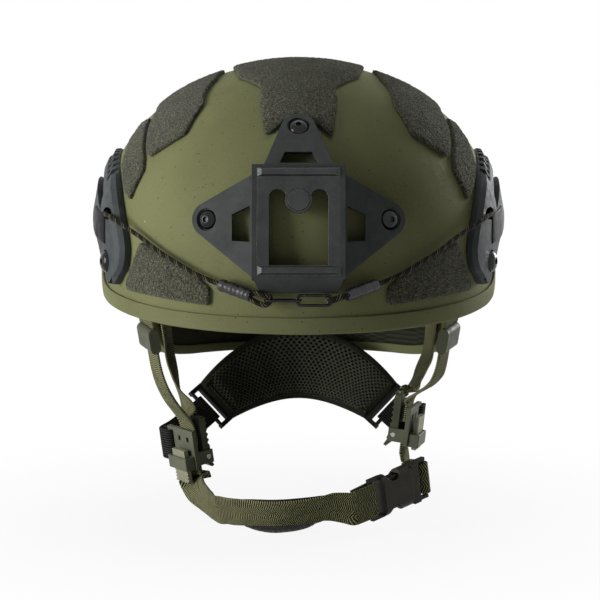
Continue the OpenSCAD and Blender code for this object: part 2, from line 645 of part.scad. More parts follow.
module cord_eyes() {
    color("black") bent_tube(eye_path([0, 1, 0]), [0, 0, 1], cord_d / 2 - 0.05);
    color("black") mirror([1, 0, 0]) bent_tube(eye_path([0, 0, 1]), [0, 1, 0], cord_d / 2 - 0.05);
}

// Adjusters: local x from front edge to rear edge, local y up the strap, local z outward
// The one at the left height is turned further out
function adj_out(z) = unit(z == adj_z_left ? [0.955, -0.27, -0.12] : [0.84, -0.54, -0.16]);
function adj_o(z) = [adj_x, adj_y, z];
function adj_up(z) = unit([0, 0, 1] - adj_out(z) * adj_out(z)[2]);
function adj_across(z) = cross(adj_up(z), adj_out(z));
function adj_point(z, p) = adj_o(z) + adj_across(z) * p[0] + adj_up(z) * p[1] + adj_out(z) * p[2];
module at_adjuster(z) placed(adj_o(z), adj_out(z), adj_up(z)) children();
lever_z = -2 * web_t - 4 * flat_gap;
pivot = [-7, lever_z - lever_t / 2];
cheek_t = 1.5;
lever_w = adj_w - 2 * cheek_t - 2 * flat_gap;
plate_top = adj_l / 2 - 3.5;
plate_low = -adj_l / 2 + 1;
// Bar at the rear edge that the nape webbing goes round
bar_r = 1.3;
bar_x = adj_w / 2 + 6;
module adjuster() difference() {
    union() {
        translate([-adj_w / 2, plate_low, 0]) cube([adj_w, plate_top - plate_low, adj_t]);
        for (s = [-1, 1]) translate([s * (adj_w / 2 - cheek_t / 2) - cheek_t / 2, pivot[0] - 4, pivot[1] - 3])
            cube([cheek_t, 8, e - pivot[1] + 2.5]);
        for (s = [plate_low, plate_top - 2]) translate([adj_w / 2 - e, s, 0]) cube([8, 2, adj_t]);
        translate([bar_x, plate_low + e, adj_t / 2]) rotate([-90, 0, 0])
            cylinder(r = bar_r, h = plate_top - plate_low - 2 * e, $fn = 16);
    }
    for (s = [-1, 1]) translate([s * 5 - 1.5, 3, -e]) cube([3, 3, adj_t + 2 * e]);
    translate([-adj_w, pivot[0], pivot[1]]) rotate([0, 90, 0]) cylinder(r = pin_r + 0.03, h = 3 * adj_w);
}
// Side view of the lever from its pin: a thumb end above, a cam below that leans away
module lever_side() polygon([[lever_l - 11, lever_t / 2], [lever_l - 11, 0.6 - lever_t / 2],
    [lever_l - 13, -lever_t / 2], [2, -lever_t / 2 - 0.3], [-4, -4.5], [-8, -6.6], [-8.8, -5],
    [-5.5, -1.6], [-2, 1.2], [0, lever_t / 2]]);
module lever() difference() {
    translate([-lever_w / 2, pivot[0], pivot[1]]) rotate([90, 0, 90]) linear_extrude(lever_w) lever_side();
    translate([-2, pivot[0] + 6.5, pivot[1] - 2 * lever_t]) cube([lever_w, lever_l, 4 * lever_t]);
    translate([-lever_w - 5, pivot[0] - lever_l - 3, pivot[1] - 2 * lever_t])
        cube([lever_w, lever_l, 4 * lever_t]);
    for (k = [0 : 4]) translate([-lever_w, pivot[0] + 8 + k * 3.4, pivot[1] - lever_t / 2 - 0.5])
        rotate([0, 90, 0]) cylinder(r = 1.2, h = 2 * lever_w, $fn = 16);
    translate([-lever_w, pivot[0], pivot[1]]) rotate([0, 90, 0]) cylinder(r = pin_r + 0.05, h = 2 * lever_w);
}
module lever_pin() translate([-adj_w / 2, pivot[0], pivot[1]]) rotate([0, 90, 0])
    cylinder(r = pin_r, h = adj_w);
// Boxy keeper that holds the webbing's tail
keeper_z = adj_t + fit;
module keeper() difference() {
    translate([-adj_w / 2 + 1, plate_low, keeper_z]) cube([adj_w - 2, 8, 6.5]);
    translate([-adj_w / 2 + 2.6, plate_low - e, keeper_z + 1.6]) cube([adj_w - 5.2, 8 + 2 * e, 3.4]);
}
module tail_tab(drop) difference() {
    translate([-7.5, plate_low + 6 - drop, keeper_z + 1.9]) cube([15, 20, 2.8]);
    for (k = [0 : 3]) translate([-10, plate_low + 7.6 - drop + k * 2, keeper_z + 4.9]) rotate([0, 90, 0])
        cylinder(r = 0.8, h = 20, $fn = 16);
}
module adjuster_left() color("darkolivegreen") at_adjuster(adj_z_left) adjuster();
module adjuster_right() color("darkolivegreen") mirror([1, 0, 0]) at_adjuster(adj_z_right) adjuster();
module cam_lever_left() color("olive") at_adjuster(adj_z_left) lever();
module cam_lever_right() color("olive") mirror([1, 0, 0]) at_adjuster(adj_z_right) lever();
module both_adjusters() {
    at_adjuster(adj_z_left) children();
    mirror([1, 0, 0]) at_adjuster(adj_z_right) children();
}
module lever_pins() color("gray") both_adjusters() lever_pin();
module tail_keepers() color("olive") both_adjusters() keeper();
module tail_tabs() {
    color("darkkhaki") at_adjuster(adj_z_left) tail_tab(8);
    color("darkkhaki") mirror([1, 0, 0]) at_adjuster(adj_z_right) tail_tab(14);
}

// Side webbing, drawn for the left side with the adjuster at height z
slide_share = 0.45;
anchor_gap = 0.8;
front_up = unit([0.38, 0.92, 0]);
strap_depth = flange_depth + fit + tab_t / 2 + 0.2;
front_anchor = on(rail_front[0], rail_front[1]) - out(rail_front[0], 0) * strap_depth
    - [0, 0, tab_low + anchor_gap];
rear_anchor = on(rail_rear[0], rail_rear[1]) - out(rail_rear[0], 0) * strap_depth
    - [0, 0, tab_low + anchor_gap];
strap_top = front_anchor + [-7.1, 3.6, -15.8];
strap_low = strap_top + [-5.5, 8, -39];
function front_route(z) = let (g = adj_point(z, [-1, plate_top, -web_t / 2 - flat_gap]))
    [front_anchor, front_anchor - [0, 0, 3], blend(front_anchor - [0, 0, 3], strap_top, 0.55), strap_top,
        blend(strap_top, strap_low, 0.5), strap_low, blend(strap_low, g, 0.5) + [2.5, -3, 2],
        g + adj_up(z) * 6 + adj_out(z) * 1.2, g + adj_up(z) * 1.3, g - adj_up(z) * 9];
module front_strap(z) {
    p = front_route(z);
    webbing(p, [for (i = [0 : 9]) i < 6 ? front_up : blend(front_up, adj_across(z), min(1, (i - 5) / 3))],
        web_w, web_t);
}
rear_w = 13;
rear_low = rear_anchor + [-7.2, -0.1, -53.8];
function rear_route(z) = let (g = adj_point(z, [6.6, plate_top - 3, -1.5 * web_t - 2.5 * flat_gap]))
    concat([rear_anchor], curve([rear_anchor - [0, 0, 5], rear_anchor + [-4.2, 1.5, -30.8], rear_low,
        blend(rear_low, g, 0.36) + [0, 0, -1.5], blend(rear_low, g, 0.7) + [-1, 4, 1],
        g + adj_up(z) * 7 - adj_out(z) * 3.6, g, g - adj_up(z) * 4], 2));
rear_up = along(rail_rear[0], 0);
module rear_strap(z) {
    p = rear_route(z);
    webbing(p, [for (i = [0 : len(p) - 1]) i < 3 ? rear_up
        : blend(rear_up, adj_across(z), min(1, (i - 3) / 9))], rear_w, web_t);
}
// Nape webbing: round the adjuster's bar, back to the pad's end plate and round its bar
wrap_r = bar_r + flat_gap + web_t / 2 + 0.15;
function nape_route(z) = let (a = adj_point(z, [bar_x, (plate_top + plate_low) / 2, adj_t / 2]),
        b = nape_end + nape_dir * nape_bar, m = blend(a, b, 0.5) + [1.5, 0, -1],
        first = round_bar(a, -adj_across(z), adj_out(z), wrap_r, 8),
        last = round_bar(b, -nape_dir, cross(nape_dir, nape_slot_u), wrap_r, 8))
    [for (q = turned(first)) q, for (k = [0.3, 0.5, 0.7]) blend(first[0], last[0], k) + [0, 0, -1] * sin(180 * k),
        for (q = last) q];
nape_w = adj_l - 9;
module nape_strap(z) {
    p = nape_route(z);
    n = len(p) - 1;
    webbing(p, [for (i = [0 : n]) i < 8 ? adj_up(z) : i > n - 8 ? nape_slot_u : blend(adj_up(z), nape_slot_u, (i - 7) / 4)],
        nape_w, web_t);
}
module front_strap_left() color("olivedrab") front_strap(adj_z_left);
module front_strap_right() color("olivedrab") mirror([1, 0, 0]) front_strap(adj_z_right);
module rear_strap_left() color("olivedrab") rear_strap(adj_z_left);
module rear_strap_right() color("olivedrab") mirror([1, 0, 0]) rear_strap(adj_z_right);
module nape_strap_left() color("black") nape_strap(adj_z_left);
module nape_strap_right() color("black") mirror([1, 0, 0]) nape_strap(adj_z_right);

// Oval slide that the front strap runs through
strap_dir = unit(strap_low - strap_top);
slide_x = 1.2;
slide_in = 6.4;
module strap_slide() {
    placed(blend(strap_top, strap_low, slide_share), front_up - strap_dir * (front_up * strap_dir), -strap_dir)
        translate([0, 0, -web_w / 2 - 1.8]) difference() {
            linear_extrude(web_w + 3.6) translate([-slide_x, 0]) {
                square([slide_in, slide_h - slide_in], center = true);
                for (s = [-1, 1]) translate([0, s * (slide_h - slide_in) / 2]) circle(d = slide_in);
            }
            translate([-web_t / 2 - 0.4, -slide_h, 1.4]) cube([web_t + 0.8, 2 * slide_h, web_w + 0.8]);
        }
}
module strap_slide_left() color("olive") strap_slide();
module strap_slide_right() color("olive") mirror([1, 0, 0]) strap_slide();

// Nape pad: a crowned boomerang hung behind the neck
nape_y = hl - 27;
function nape_mid(t) = [nape_half * t, nape_y - 38 * t * t, -46 - 21 * t * t];
nape_end = nape_mid(1);
nape_dir = unit([nape_half, -76, -42]);
nape_slot_u = unit([sin(49), 0, cos(49)] - nape_dir * (nape_dir * [sin(49), 0, cos(49)]));
nape_section = [[1, -0.5], [1.02, 0], [1, 0.5], [0.6, 0.95], [0, 1.05], [-0.6, 0.95], [-1, 0.5],
    [-1.02, 0], [-1, -0.5], [-0.6, -0.95], [0, -1.05], [0.6, -0.95]];
function nape_ring(t, f) = let (c = nape_mid(t), d = unit([nape_half, -76 * t, -42 * t]),
        u0 = [sin(49 * t), 0, cos(49 * t)], u = unit(u0 - d * (u0 * d)), v = cross(d, u),
        h = blend(nape_h, nape_end_h, t * t) / 2)
    [for (s = nape_section) c + u * s[0] * h * (0.97 + 0.03 * f) + v * s[1] * nape_t / 2 * f];
nape_steps = [[-1, 0.5], [-0.97, 0.8], [-0.9, 0.95], [-0.75, 1], [-0.6, 1], [-0.45, 1], [-0.3, 1],
    [-0.15, 1], [0, 1], [0.15, 1], [0.3, 1], [0.45, 1], [0.6, 1], [0.75, 1], [0.9, 0.95],
    [0.97, 0.8], [1, 0.5]];
module nape_pad() color("black") skin([for (s = nape_steps) nape_ring(s[0], s[1])]);
plate_l = nape_end_h + 1;
nape_bar = 10.4;
module nape_plates() {
    color("black") left_and_right() placed(nape_end + nape_dir * 0.5, cross(nape_dir, nape_slot_u), nape_slot_u)
        difference() {
            union() {
                translate([0, -plate_l / 2, -1.5]) cube([3, plate_l, 3]);
                for (s = [-1, 1]) translate([0, s * (plate_l / 2 - 1.5) - 1.5, -1.5]) cube([nape_bar + 0.8, 3, 3]);
                translate([nape_bar - 0.5, -plate_l / 2 + e, 0]) rotate([-90, 0, 0])
                    cylinder(r = bar_r, h = plate_l - 2 * e, $fn = 16);
            }
        }
}
// Webbing that hangs the nape pad from the rear of the shell
module nape_hanger() {
    y0 = hl - wall - 1.6 - web_t / 2;
    y1 = nape_y + nape_t / 2 * 1.05 + flat_gap + web_t / 2;
    z0 = waist_z + deg_s * rear_pad_s - rear_pad_v - 1;
    p = [[0, y0, z0], [0, y0, -14], [0, y0 - 1, -24], [0, blend(y0, y1, 0.6), -33], [0, y1, -41], [0, y1, -56]];
    color("black") webbing(p, [for (q = p) [1, 0, 0]], 25, web_t);
}

// Chin strap: side run on the right, then the band under the chin to the buckle
chin_route = [[-47, -61.6, -110], [-39, -69.8, -109.6], [-28, -78, -108.6], [-16, -83, -108.2],
    [-4, -84.6, -107.4], [8, -83.2, -106.2], [19, -79, -105]];
chin_up = unit([0, -0.6, 0.8]);
buckle_dir = unit([-0.718, -0.676, -0.165]);
buckle_o = [64.8, -43.1, -98.9];
buckle_up = unit([0, 0, 1] - buckle_dir * buckle_dir[2]);
buckle_out = cross(buckle_dir, buckle_up);
ladder_l = 9;
bar_t = 2.6;
bar_end = buckle_o + buckle_dir * (buckle_l + ladder_l - bar_t / 2);
chin_wrap = bar_t / 2 + flat_gap + chin_t / 2 + 0.1;
chin_loop = round_bar(bar_end, -buckle_dir, -buckle_out, chin_wrap, 11);
chin_path = concat(curve([for (p = chin_route) p, chin_loop[0] + buckle_dir * 2.5], 2), chin_loop);
chin_n = len(chin_path) - 1;
function chin_width_at(i) = blend(chin_up, buckle_up, min(1, max(0, (i - chin_n + 11) / 4)));
module chin_strap() {
    color("olivedrab") webbing(chin_path, [for (i = [0 : chin_n]) chin_width_at(i)], chin_w, chin_t);
}
module chin_side_strap() {
    g = adj_point(adj_z_right, [0, plate_low + 4, -chin_t / 2 - flat_gap]);
    h = adj_point(adj_z_right, [0, plate_low - 7, -chin_t / 2 - flat_gap]);
    p = concat([[-g[0], g[1], g[2]]], curve([[-h[0], h[1], h[2]], [-60.8, -28.5, -104], [-55.8, -42, -107.2],
        [-48.5, -59.2, -109.9]], 3));
    m = len(p) - 1;
    a = [adj_across(adj_z_right)[0], -adj_across(adj_z_right)[1], 0];
    color("olivedrab") webbing(p, [for (i = [0 : m]) blend(a, chin_up, max(0, i - 2) / (m - 2))], chin_w, chin_t);
}
// Cup of padded leather behind the band, from one point of the band's path to another
cup_first = 1;
cup_last = 13;
cup_low = 6;
cup_section = [[1, -0.5], [1, 0.5], [0.75, 1], [0, 1], [-0.75, 1], [-1, 0.5], [-1, -0.5], [-0.75, -1],
    [0, -1], [0.75, -1]];
module chin_cup() {
    color("black") skin([for (i = [cup_first : cup_last]) let (c = chin_path[i], d = tangent(chin_path, i),
            u = unit(chin_width_at(i) - d * (chin_width_at(i) * d)), v = cross(d, u),
            f = (i - cup_first) / (cup_last - cup_first), s = sqrt(max(0.12, 1 - pow(abs(2 * f - 1), 2.6))),
            h = cup_h * s / 2, k = cup_t / 2)
        [for (q = cup_section) c + u * (q[0] * h - cup_low * s) - v * (chin_t / 2 + flat_gap * (1.4 + 2 * f * f) + k - q[1] * k)]]);
}

// Side-release buckle: local x from the mouth into the female half, local y up its width
module at_buckle() {
    multmatrix([[buckle_dir[0], buckle_up[0], buckle_out[0], buckle_o[0]],
        [buckle_dir[1], buckle_up[1], buckle_out[1], buckle_o[1]],
        [buckle_dir[2], buckle_up[2], buckle_out[2], buckle_o[2]], [0, 0, 0, 1]]) children();
}
buckle_w = chin_w + 5;
half_t = buckle_t / 2;
mouth_h = buckle_w / 2 - 2.4;
mouth_t = half_t - 1.6;
module stadium(w, t) {
    square([w - t, t], center = true);
    for (s = [-1, 1]) translate([s * (w - t) / 2, 0]) circle(d = t);
}
// Two side arms and a round bar, from x0 to the bar at x1
module bar_frame(x0, x1) {
    for (s = [-1, 1]) translate([min(x0, x1) - (x1 < x0 ? bar_t / 2 : 0), s * (chin_w / 2 + 1.5) - 1, -bar_t / 2])
        cube([abs(x1 - x0) + bar_t / 2, 2, bar_t]);
    translate([x1, -chin_w / 2 - 1, 0]) rotate([-90, 0, 0]) cylinder(d = bar_t, h = chin_w + 2, $fn = 16);
}
module buckle_female() {
    color("darkslategray") at_buckle() difference() {
        union() {
            rotate([90, 0, 90]) linear_extrude(buckle_l) stadium(buckle_w, buckle_t);
            bar_frame(buckle_l - e, buckle_l + ladder_l - bar_t / 2);
        }
        translate([-e, -mouth_h, -mouth_t]) cube([buckle_l - 2 + e, 2 * mouth_h, 2 * mouth_t]);
        for (s = [-1, 1]) translate([buckle_l - 9, s * (buckle_w / 2 + 1), 0])
            cylinder(r = 6, h = 2 * buckle_t, center = true);
        translate([3, -8, half_t - 0.5]) cube([buckle_l - 6, 12, e + 0.5]);
    }
}
module buckle_male() {
    color("darkslategray") at_buckle() {
        translate([-6, -buckle_w / 2 + 0.4, -half_t + 0.5]) cube([6 - flat_gap, buckle_w - 0.8, buckle_t - 1]);
        translate([-e, -3, -mouth_t + flat_gap]) cube([e + 15, 6, 2 * mouth_t - 2 * flat_gap]);
        bar_frame(-6 + e, -6 - ladder_l + bar_t / 2);
    }
}
module prong(s) {
    color("darkslategray") at_buckle() scale([1, s, 1]) translate([0, 0, -mouth_t + flat_gap]) union() {
        translate([0, 5.2, 0]) cube([buckle_l - 6, 2.2, 2 * mouth_t - 2 * flat_gap]);
        translate([buckle_l - 13, 5.2, 0]) cube([8, mouth_h - 5.2 - flat_gap, 2 * mouth_t - 2 * flat_gap]);
    }
}
module buckle_prong_upper() prong(1);
module buckle_prong_lower() prong(-1);
// Short webbing that twists a quarter turn on its way down and goes round the male half's bar
function in_buckle(p) = buckle_o + buckle_dir * p[0] + buckle_up * p[1] + buckle_out * p[2];
module buckle_strap() {
    g = adj_point(adj_z_left, [0, plate_low + 4, -chin_t / 2 - flat_gap]);
    h = adj_point(adj_z_left, [0, plate_low - 4, -chin_t / 2 - flat_gap]);
    bar_x0 = -6 - ladder_l + bar_t / 2;
    last = round_bar(in_buckle([bar_x0, 0, 0]), -buckle_out, -buckle_dir, chin_wrap, 4);
    p = concat([g], curve([h, in_buckle([bar_x0 - 5.6, 5.5, 18.6]), in_buckle([bar_x0 - 4.5, 1.2, 14.5]),
        in_buckle([bar_x0 - 2.9, 0, 10]), last[0]], 3), [for (i = [1 : len(last) - 1]) last[i]]);
    m = len(p) - 1;
    color("olivedrab") webbing(p, [for (i = [0 : m]) blend(-adj_across(adj_z_left), buckle_up,
        min(1, max(0, i - 2) / 9))], chin_w - 1, chin_t);
}

shell();
edge_trim();
crown_patch();
upper_patches();
side_patches();
brow_patches();
rear_patch();
rear_side_patches();
crown_pad();
front_pad();
rear_pad();
front_side_pads();
rear_side_pads();
hook_discs();
shroud_frame();
shroud_insert();
insert_plug();
shroud_screws();
shroud_nuts();
rail_left();
rail_right();
rail_screws();
rail_nuts();
anchor_tabs();
cord_left();
cord_right();
cord_sleeves();
cord_eyes();
hook_left();
hook_right();
gate_left();
gate_right();
front_strap_left();
front_strap_right();
rear_strap_left();
rear_strap_right();
nape_strap_left();
nape_strap_right();
strap_slide_left();
strap_slide_right();
adjuster_left();
adjuster_right();
cam_lever_left();
cam_lever_right();
lever_pins();
tail_keepers();
tail_tabs();
nape_pad();
nape_plates();
nape_hanger();
chin_side_strap();
chin_strap();
chin_cup();
buckle_female();
buckle_male();
buckle_prong_upper();
buckle_prong_lower();
buckle_strap();
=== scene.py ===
"""Looks of the combat helmet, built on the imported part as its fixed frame. Lengths are millimetres."""
import math
import random

import bmesh
import bpy
import numpy as np
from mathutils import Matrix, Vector, geometry, noise


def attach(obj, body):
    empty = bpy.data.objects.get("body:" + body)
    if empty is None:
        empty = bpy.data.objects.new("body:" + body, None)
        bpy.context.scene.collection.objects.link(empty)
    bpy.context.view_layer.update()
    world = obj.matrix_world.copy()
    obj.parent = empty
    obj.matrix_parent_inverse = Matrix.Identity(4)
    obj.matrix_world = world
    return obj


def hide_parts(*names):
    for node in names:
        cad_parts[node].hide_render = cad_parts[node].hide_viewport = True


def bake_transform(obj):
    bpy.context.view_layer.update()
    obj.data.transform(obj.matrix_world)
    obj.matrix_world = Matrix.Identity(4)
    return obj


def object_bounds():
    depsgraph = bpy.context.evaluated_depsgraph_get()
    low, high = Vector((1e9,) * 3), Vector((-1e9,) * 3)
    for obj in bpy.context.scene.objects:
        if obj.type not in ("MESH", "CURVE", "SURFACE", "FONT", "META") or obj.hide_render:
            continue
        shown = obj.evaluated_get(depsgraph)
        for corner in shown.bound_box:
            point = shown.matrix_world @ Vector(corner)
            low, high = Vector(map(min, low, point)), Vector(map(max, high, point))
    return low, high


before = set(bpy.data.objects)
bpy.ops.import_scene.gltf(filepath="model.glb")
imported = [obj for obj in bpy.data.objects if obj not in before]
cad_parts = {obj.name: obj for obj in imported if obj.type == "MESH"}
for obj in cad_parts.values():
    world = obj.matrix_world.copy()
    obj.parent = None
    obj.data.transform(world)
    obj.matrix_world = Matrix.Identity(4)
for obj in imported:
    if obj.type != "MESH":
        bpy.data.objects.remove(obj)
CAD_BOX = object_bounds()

bl_info = {
    "name": "Combat Helmet Looks",
    "version": (1, 0, 0),
    "blender": (4, 5, 0),
    "location": "View3D > Sidebar > Helmet",
    "description": "Dresses a packed combat helmet with detailed surfaces, soft goods and a studio",
    "category": "Object",
}

MM = 0.001
HALF_W, HALF_L, DOME, WAIST, WALL = 118.0, 141.0, 95.0, 57.0, 8.0
EAR_CUT, SKIRT = 54.0, 38.0
RIM = ((0, 0), (20, 0.012), (36, 0.04), (50, 0.085), (60, 0.13), (70, 0.18), (77, 0.26), (82, 0.42),
       (87, 0.64), (92, 0.86), (97, 0.98), (101, 1), (105, 0.93), (109, 0.7), (113, 0.32),
       (116, -0.05), (118, -0.3), (120, -0.52), (124, -0.83), (129, -0.95), (136, -1), (180, -1))
HALF_COLUMNS = [*range(0, 73, 6), *range(76, 133, 4), *range(138, 181, 6)]
COLUMNS = HALF_COLUMNS + [360 - a for a in HALF_COLUMNS[-2:0:-1]]
GAP, FLAT_GAP, TRIM_GAP, TRIM_T = 0.35, 0.3, 0.25, 1.3
WEB_W, WEB_T, CHIN_W, CHIN_T, CORD_D = 18.0, 1.6, 20.0, 1.8, 3.0


# Vectors and curves
def vec(*values):
    return np.array(values, float)


def unit(v):
    v = np.asarray(v, float)
    return v / np.maximum(np.linalg.norm(v, axis=-1, keepdims=True), 1e-12)


def between(a, b, t):
    return np.asarray(a, float) + (np.asarray(b, float) - np.asarray(a, float)) * t


def curve(points, steps, hoop=False):
    """Smooth curve through every point, with that many steps between two points."""
    p = np.asarray(points, float)
    m = len(p)
    last = m if hoop else m - 1
    out = []
    for i in range(last):
        ids = [i - 1, i, i + 1, i + 2]
        a, b, c, d = (p[k % m] if hoop else p[min(max(k, 0), m - 1)] for k in ids)
        for k in range(steps):
            t = k / steps
            out.append((2 * b + (c - a) * t + (2 * a - 5 * b + 4 * c - d) * t * t
                        + (3 * b - a - 3 * c + d) * t ** 3) / 2)
    if not hoop:
        out.append(p[-1])
    return np.array(out)


def eased(points, steps):
    """Curve that stays inside the corners of a path and touches each of its sides."""
    p = np.asarray(points, float)
    out = [p[0]]
    for i in range(1, len(p) - 1):
        a, b = (p[i - 1] + p[i]) / 2, (p[i] + p[i + 1]) / 2
        for k in range(steps + 1):
            t = k / steps
            out.append(a * (1 - t) ** 2 + 2 * p[i] * t * (1 - t) + b * t * t)
    out.append(p[-1])
    return np.array(out)


def even(points, step):
    """The same path with points about step apart. Columns after the third are carried along."""
    p = np.asarray(points, float)
    d = np.concatenate([[0], np.cumsum(np.linalg.norm(np.diff(p[:, :3], axis=0), axis=1))])
    keep = np.concatenate([[True], np.diff(d) > 1e-6])
    p, d = p[keep], d[keep]
    n = max(2, int(round(d[-1] / step)) + 1)
    s = np.linspace(0, d[-1], n)
    return np.stack([np.interp(s, d, p[:, k]) for k in range(p.shape[1])], 1)


def lengths(points):
    return np.concatenate([[0], np.cumsum(np.linalg.norm(np.diff(points, axis=0), axis=1))])


def tangents(points, hoop=False):
    if hoop:
        return unit(np.roll(points, -1, 0) - np.roll(points, 1, 0))
    return unit(np.gradient(points, axis=0))


def rounded(corners, radii, steps=4):
    """Flat outline with its corners rounded."""
    p = np.asarray(corners, float)
    n = len(p)
    radii = [radii] * n if np.isscalar(radii) else radii
    out = []
    for i in range(n):
        a, b, c = p[i - 1], p[i], p[(i + 1) % n]
        u, v = unit(a - b), unit(c - b)
        half = math.acos(max(-1, min(1, float(u @ v)))) / 2
        if radii[i] <= 0 or half > 1.55:
            out.append(b)
            continue
        reach = min(radii[i] / math.tan(half), 0.49 * np.linalg.norm(a - b), 0.49 * np.linalg.norm(c - b))
        s, e = b + u * reach, b + v * reach
        for k in range(steps + 1):
            t = k / steps
            out.append(s * (1 - t) ** 2 + 2 * b * t * (1 - t) + e * t * t)
    return np.array(out)


def place_of(origin, z, y):
    """Axes and origin of a local place, with local z along z and local y as near y as it can be."""
    c = unit(z)
    b = unit(np.asarray(y, float) - c * (np.asarray(y, float) @ c))
    return np.stack([np.cross(b, c), b, c]), np.asarray(origin, float)


def put(points, place):
    return np.asarray(points, float) @ place[0] + place[1]


# The shell's surface
def on(a, s, off=0.0):
    """Points at azimuth a and latitude s, off proud of the shell's outer face."""
    a, s, off = np.broadcast_arrays(np.radians(a), np.asarray(s, float), np.asarray(off, float))
    up = np.radians(np.clip(s, 0, None))
    return np.stack([(HALF_W + off) * np.cos(up) * np.sin(a), -(HALF_L + off) * np.cos(up) * np.cos(a),
                     np.where(s > 0, WAIST + (DOME + off) * np.sin(up), WAIST + DOME * np.radians(s))], -1)


def over(x, y, off=0.0):
    """Points of the dome over points of the plan."""
    x, y, off = np.broadcast_arrays(np.asarray(x, float), np.asarray(y, float), np.asarray(off, float))
    h = np.sqrt(1 - (x / HALF_W) ** 2 - (y / HALF_L) ** 2)
    return np.stack([x * (1 + off / HALF_W), y * (1 + off / HALF_L), WAIST + (DOME + off) * h], -1)


def outward(a, s):
    c = math.cos(math.radians(s))
    a = math.radians(a)
    return unit(vec(c * math.sin(a) / HALF_W, -c * math.cos(a) / HALF_L,
                    math.sin(math.radians(s)) / DOME if s > 0 else 0))


DEG_S = DOME * math.pi / 180


def deg_a(a, s):
    a = np.radians(a)
    return (np.hypot(HALF_W * np.cos(a), HALF_L * np.sin(a))
            * np.cos(np.radians(np.clip(s, 0, None))) * math.pi / 180)


def moved(q, du, dv):
    return q[0] + du / deg_a(q[0], q[1]), q[1] + dv / DEG_S


def lat(z):
    h = (z - WAIST) / DOME
    return math.degrees(math.asin(h)) if h > 0 else math.degrees(h)


def rim_raw(a):
    b = a % 360
    f = np.interp(min(b, 360 - b), [r[0] for r in RIM], [r[1] for r in RIM])
    return f * (EAR_CUT if f > 0 else SKIRT)


def rim_z(a):
    return sum(rim_raw(a + d) for d in (-3, -1.5, 0, 1.5, 3)) / 5


def rim_in(a, w):
    """Azimuth and latitude w in from the rim, square to it."""
    d = unit(vec(2 * deg_a(a, 0), rim_z(a + 1) - rim_z(a - 1)))
    return moved((a, lat(rim_z(a))), -w * d[1], w * d[0])


def on_shell(a, s):
    return place_of(on(a, s), outward(a, s), (0, 0, 1))


# Mesh parts: points, faces and the run and across of each face's corners
def loft(rings, across=None, closed=True, caps=True, hoop=False):
    rings = np.asarray(rings, float)
    m, n, _ = rings.shape
    middle = rings.mean(1)
    runs = lengths(np.vstack([middle, middle[:1]]) if hoop else middle)
    if across is None:
        across = lengths(np.vstack([rings[m // 2], rings[m // 2][:1]]) if closed else rings[m // 2])
    faces, uvs = [], []
    for i in range(m if hoop else m - 1):
        k = (i + 1) % m
        for j in range(n if closed else n - 1):
            h = (j + 1) % n
            faces.append([i * n + j, i * n + h, k * n + h, k * n + j])
            uvs.append([(runs[i], across[j]), (runs[i], across[j + 1]), (runs[i + 1], across[j + 1]),
                        (runs[i + 1], across[j])])
    if caps and closed and not hoop:
        faces += [list(range(n))[::-1], [(m - 1) * n + j for j in range(n)]]
        uvs += [[(runs[0], across[j]) for j in range(n)][::-1], [(runs[-1], across[j]) for j in range(n)]]
    return rings.reshape(-1, 3), faces, uvs


def mirrored(part):
    return part[0] * vec(-1, 1, 1), [f[::-1] for f in part[1]], [u[::-1] for u in part[2]]


def both(part):
    return [part, mirrored(part)]


def piece(name, parts, finish, body, nodes=(), angle=42, closed=True):
    """One object from mesh parts. It rides on a body and stands for CAD nodes."""
    points, faces, uvs, start = [], [], [], 0
    for p in parts:
        points.append(p[0])
        faces += [[v + start for v in f] for f in p[1]]
        uvs += p[2]
        start += len(p[0])
    mesh = bpy.data.meshes.new(name)
    mesh.from_pydata((np.vstack(points) * MM).tolist(), [], faces)
    layer = mesh.uv_layers.new(name="run")
    layer.data.foreach_set("uv", np.array([c for f in uvs for c in f], np.float32).ravel())
    if closed:
        bm = bmesh.new()
        bm.from_mesh(mesh)
        bmesh.ops.recalc_face_normals(bm, faces=bm.faces)
        bm.to_mesh(mesh)
        bm.free()
    mesh.polygons.foreach_set("use_smooth", np.ones(len(mesh.polygons), bool))
    mesh.set_sharp_from_angle(angle=math.radians(angle))
    obj = bpy.data.objects.new(name, mesh)
    bpy.context.scene.collection.objects.link(obj)
    for f in finish if isinstance(finish, (list, tuple)) else [finish]:
        mesh.materials.append(f)
    if nodes:
        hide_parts(*nodes)
    if body:
        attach(obj, body)
    return obj


def ribbon(path, width, thick, step=1.3):
    """Flat webbing with rounded selvedges. Each row of path is a point and the way its width runs."""
    path = even(path, step)
    p, ups = path[:, :3], path[:, 3:6]
    t = tangents(p)
    u = unit(ups - t * np.sum(ups * t, 1, keepdims=True))
    v = np.cross(t, u)
    w, h = width / 2, thick / 2
    profile = [(w, 0), (w - 0.12, 0.62 * h), (w - 0.5, h), (w - 1.6, 0.94 * h), (w / 2, 0.97 * h), (0, h),
               (-w / 2, 0.97 * h), (1.6 - w, 0.94 * h), (0.5 - w, h), (0.12 - w, 0.62 * h), (-w, 0),
               (0.12 - w, -0.62 * h), (0.5 - w, -h), (1.6 - w, -0.94 * h), (-w / 2, -0.97 * h), (0, -h),
               (w / 2, -0.97 * h), (w - 1.6, -0.94 * h), (w - 0.5, -h), (w - 0.12, -0.62 * h)]
    rings = [[p[i] + u[i] * x + v[i] * y for x, y in profile] for i in range(len(p))]
    return loft(rings, [x for x, y in profile] + [w])


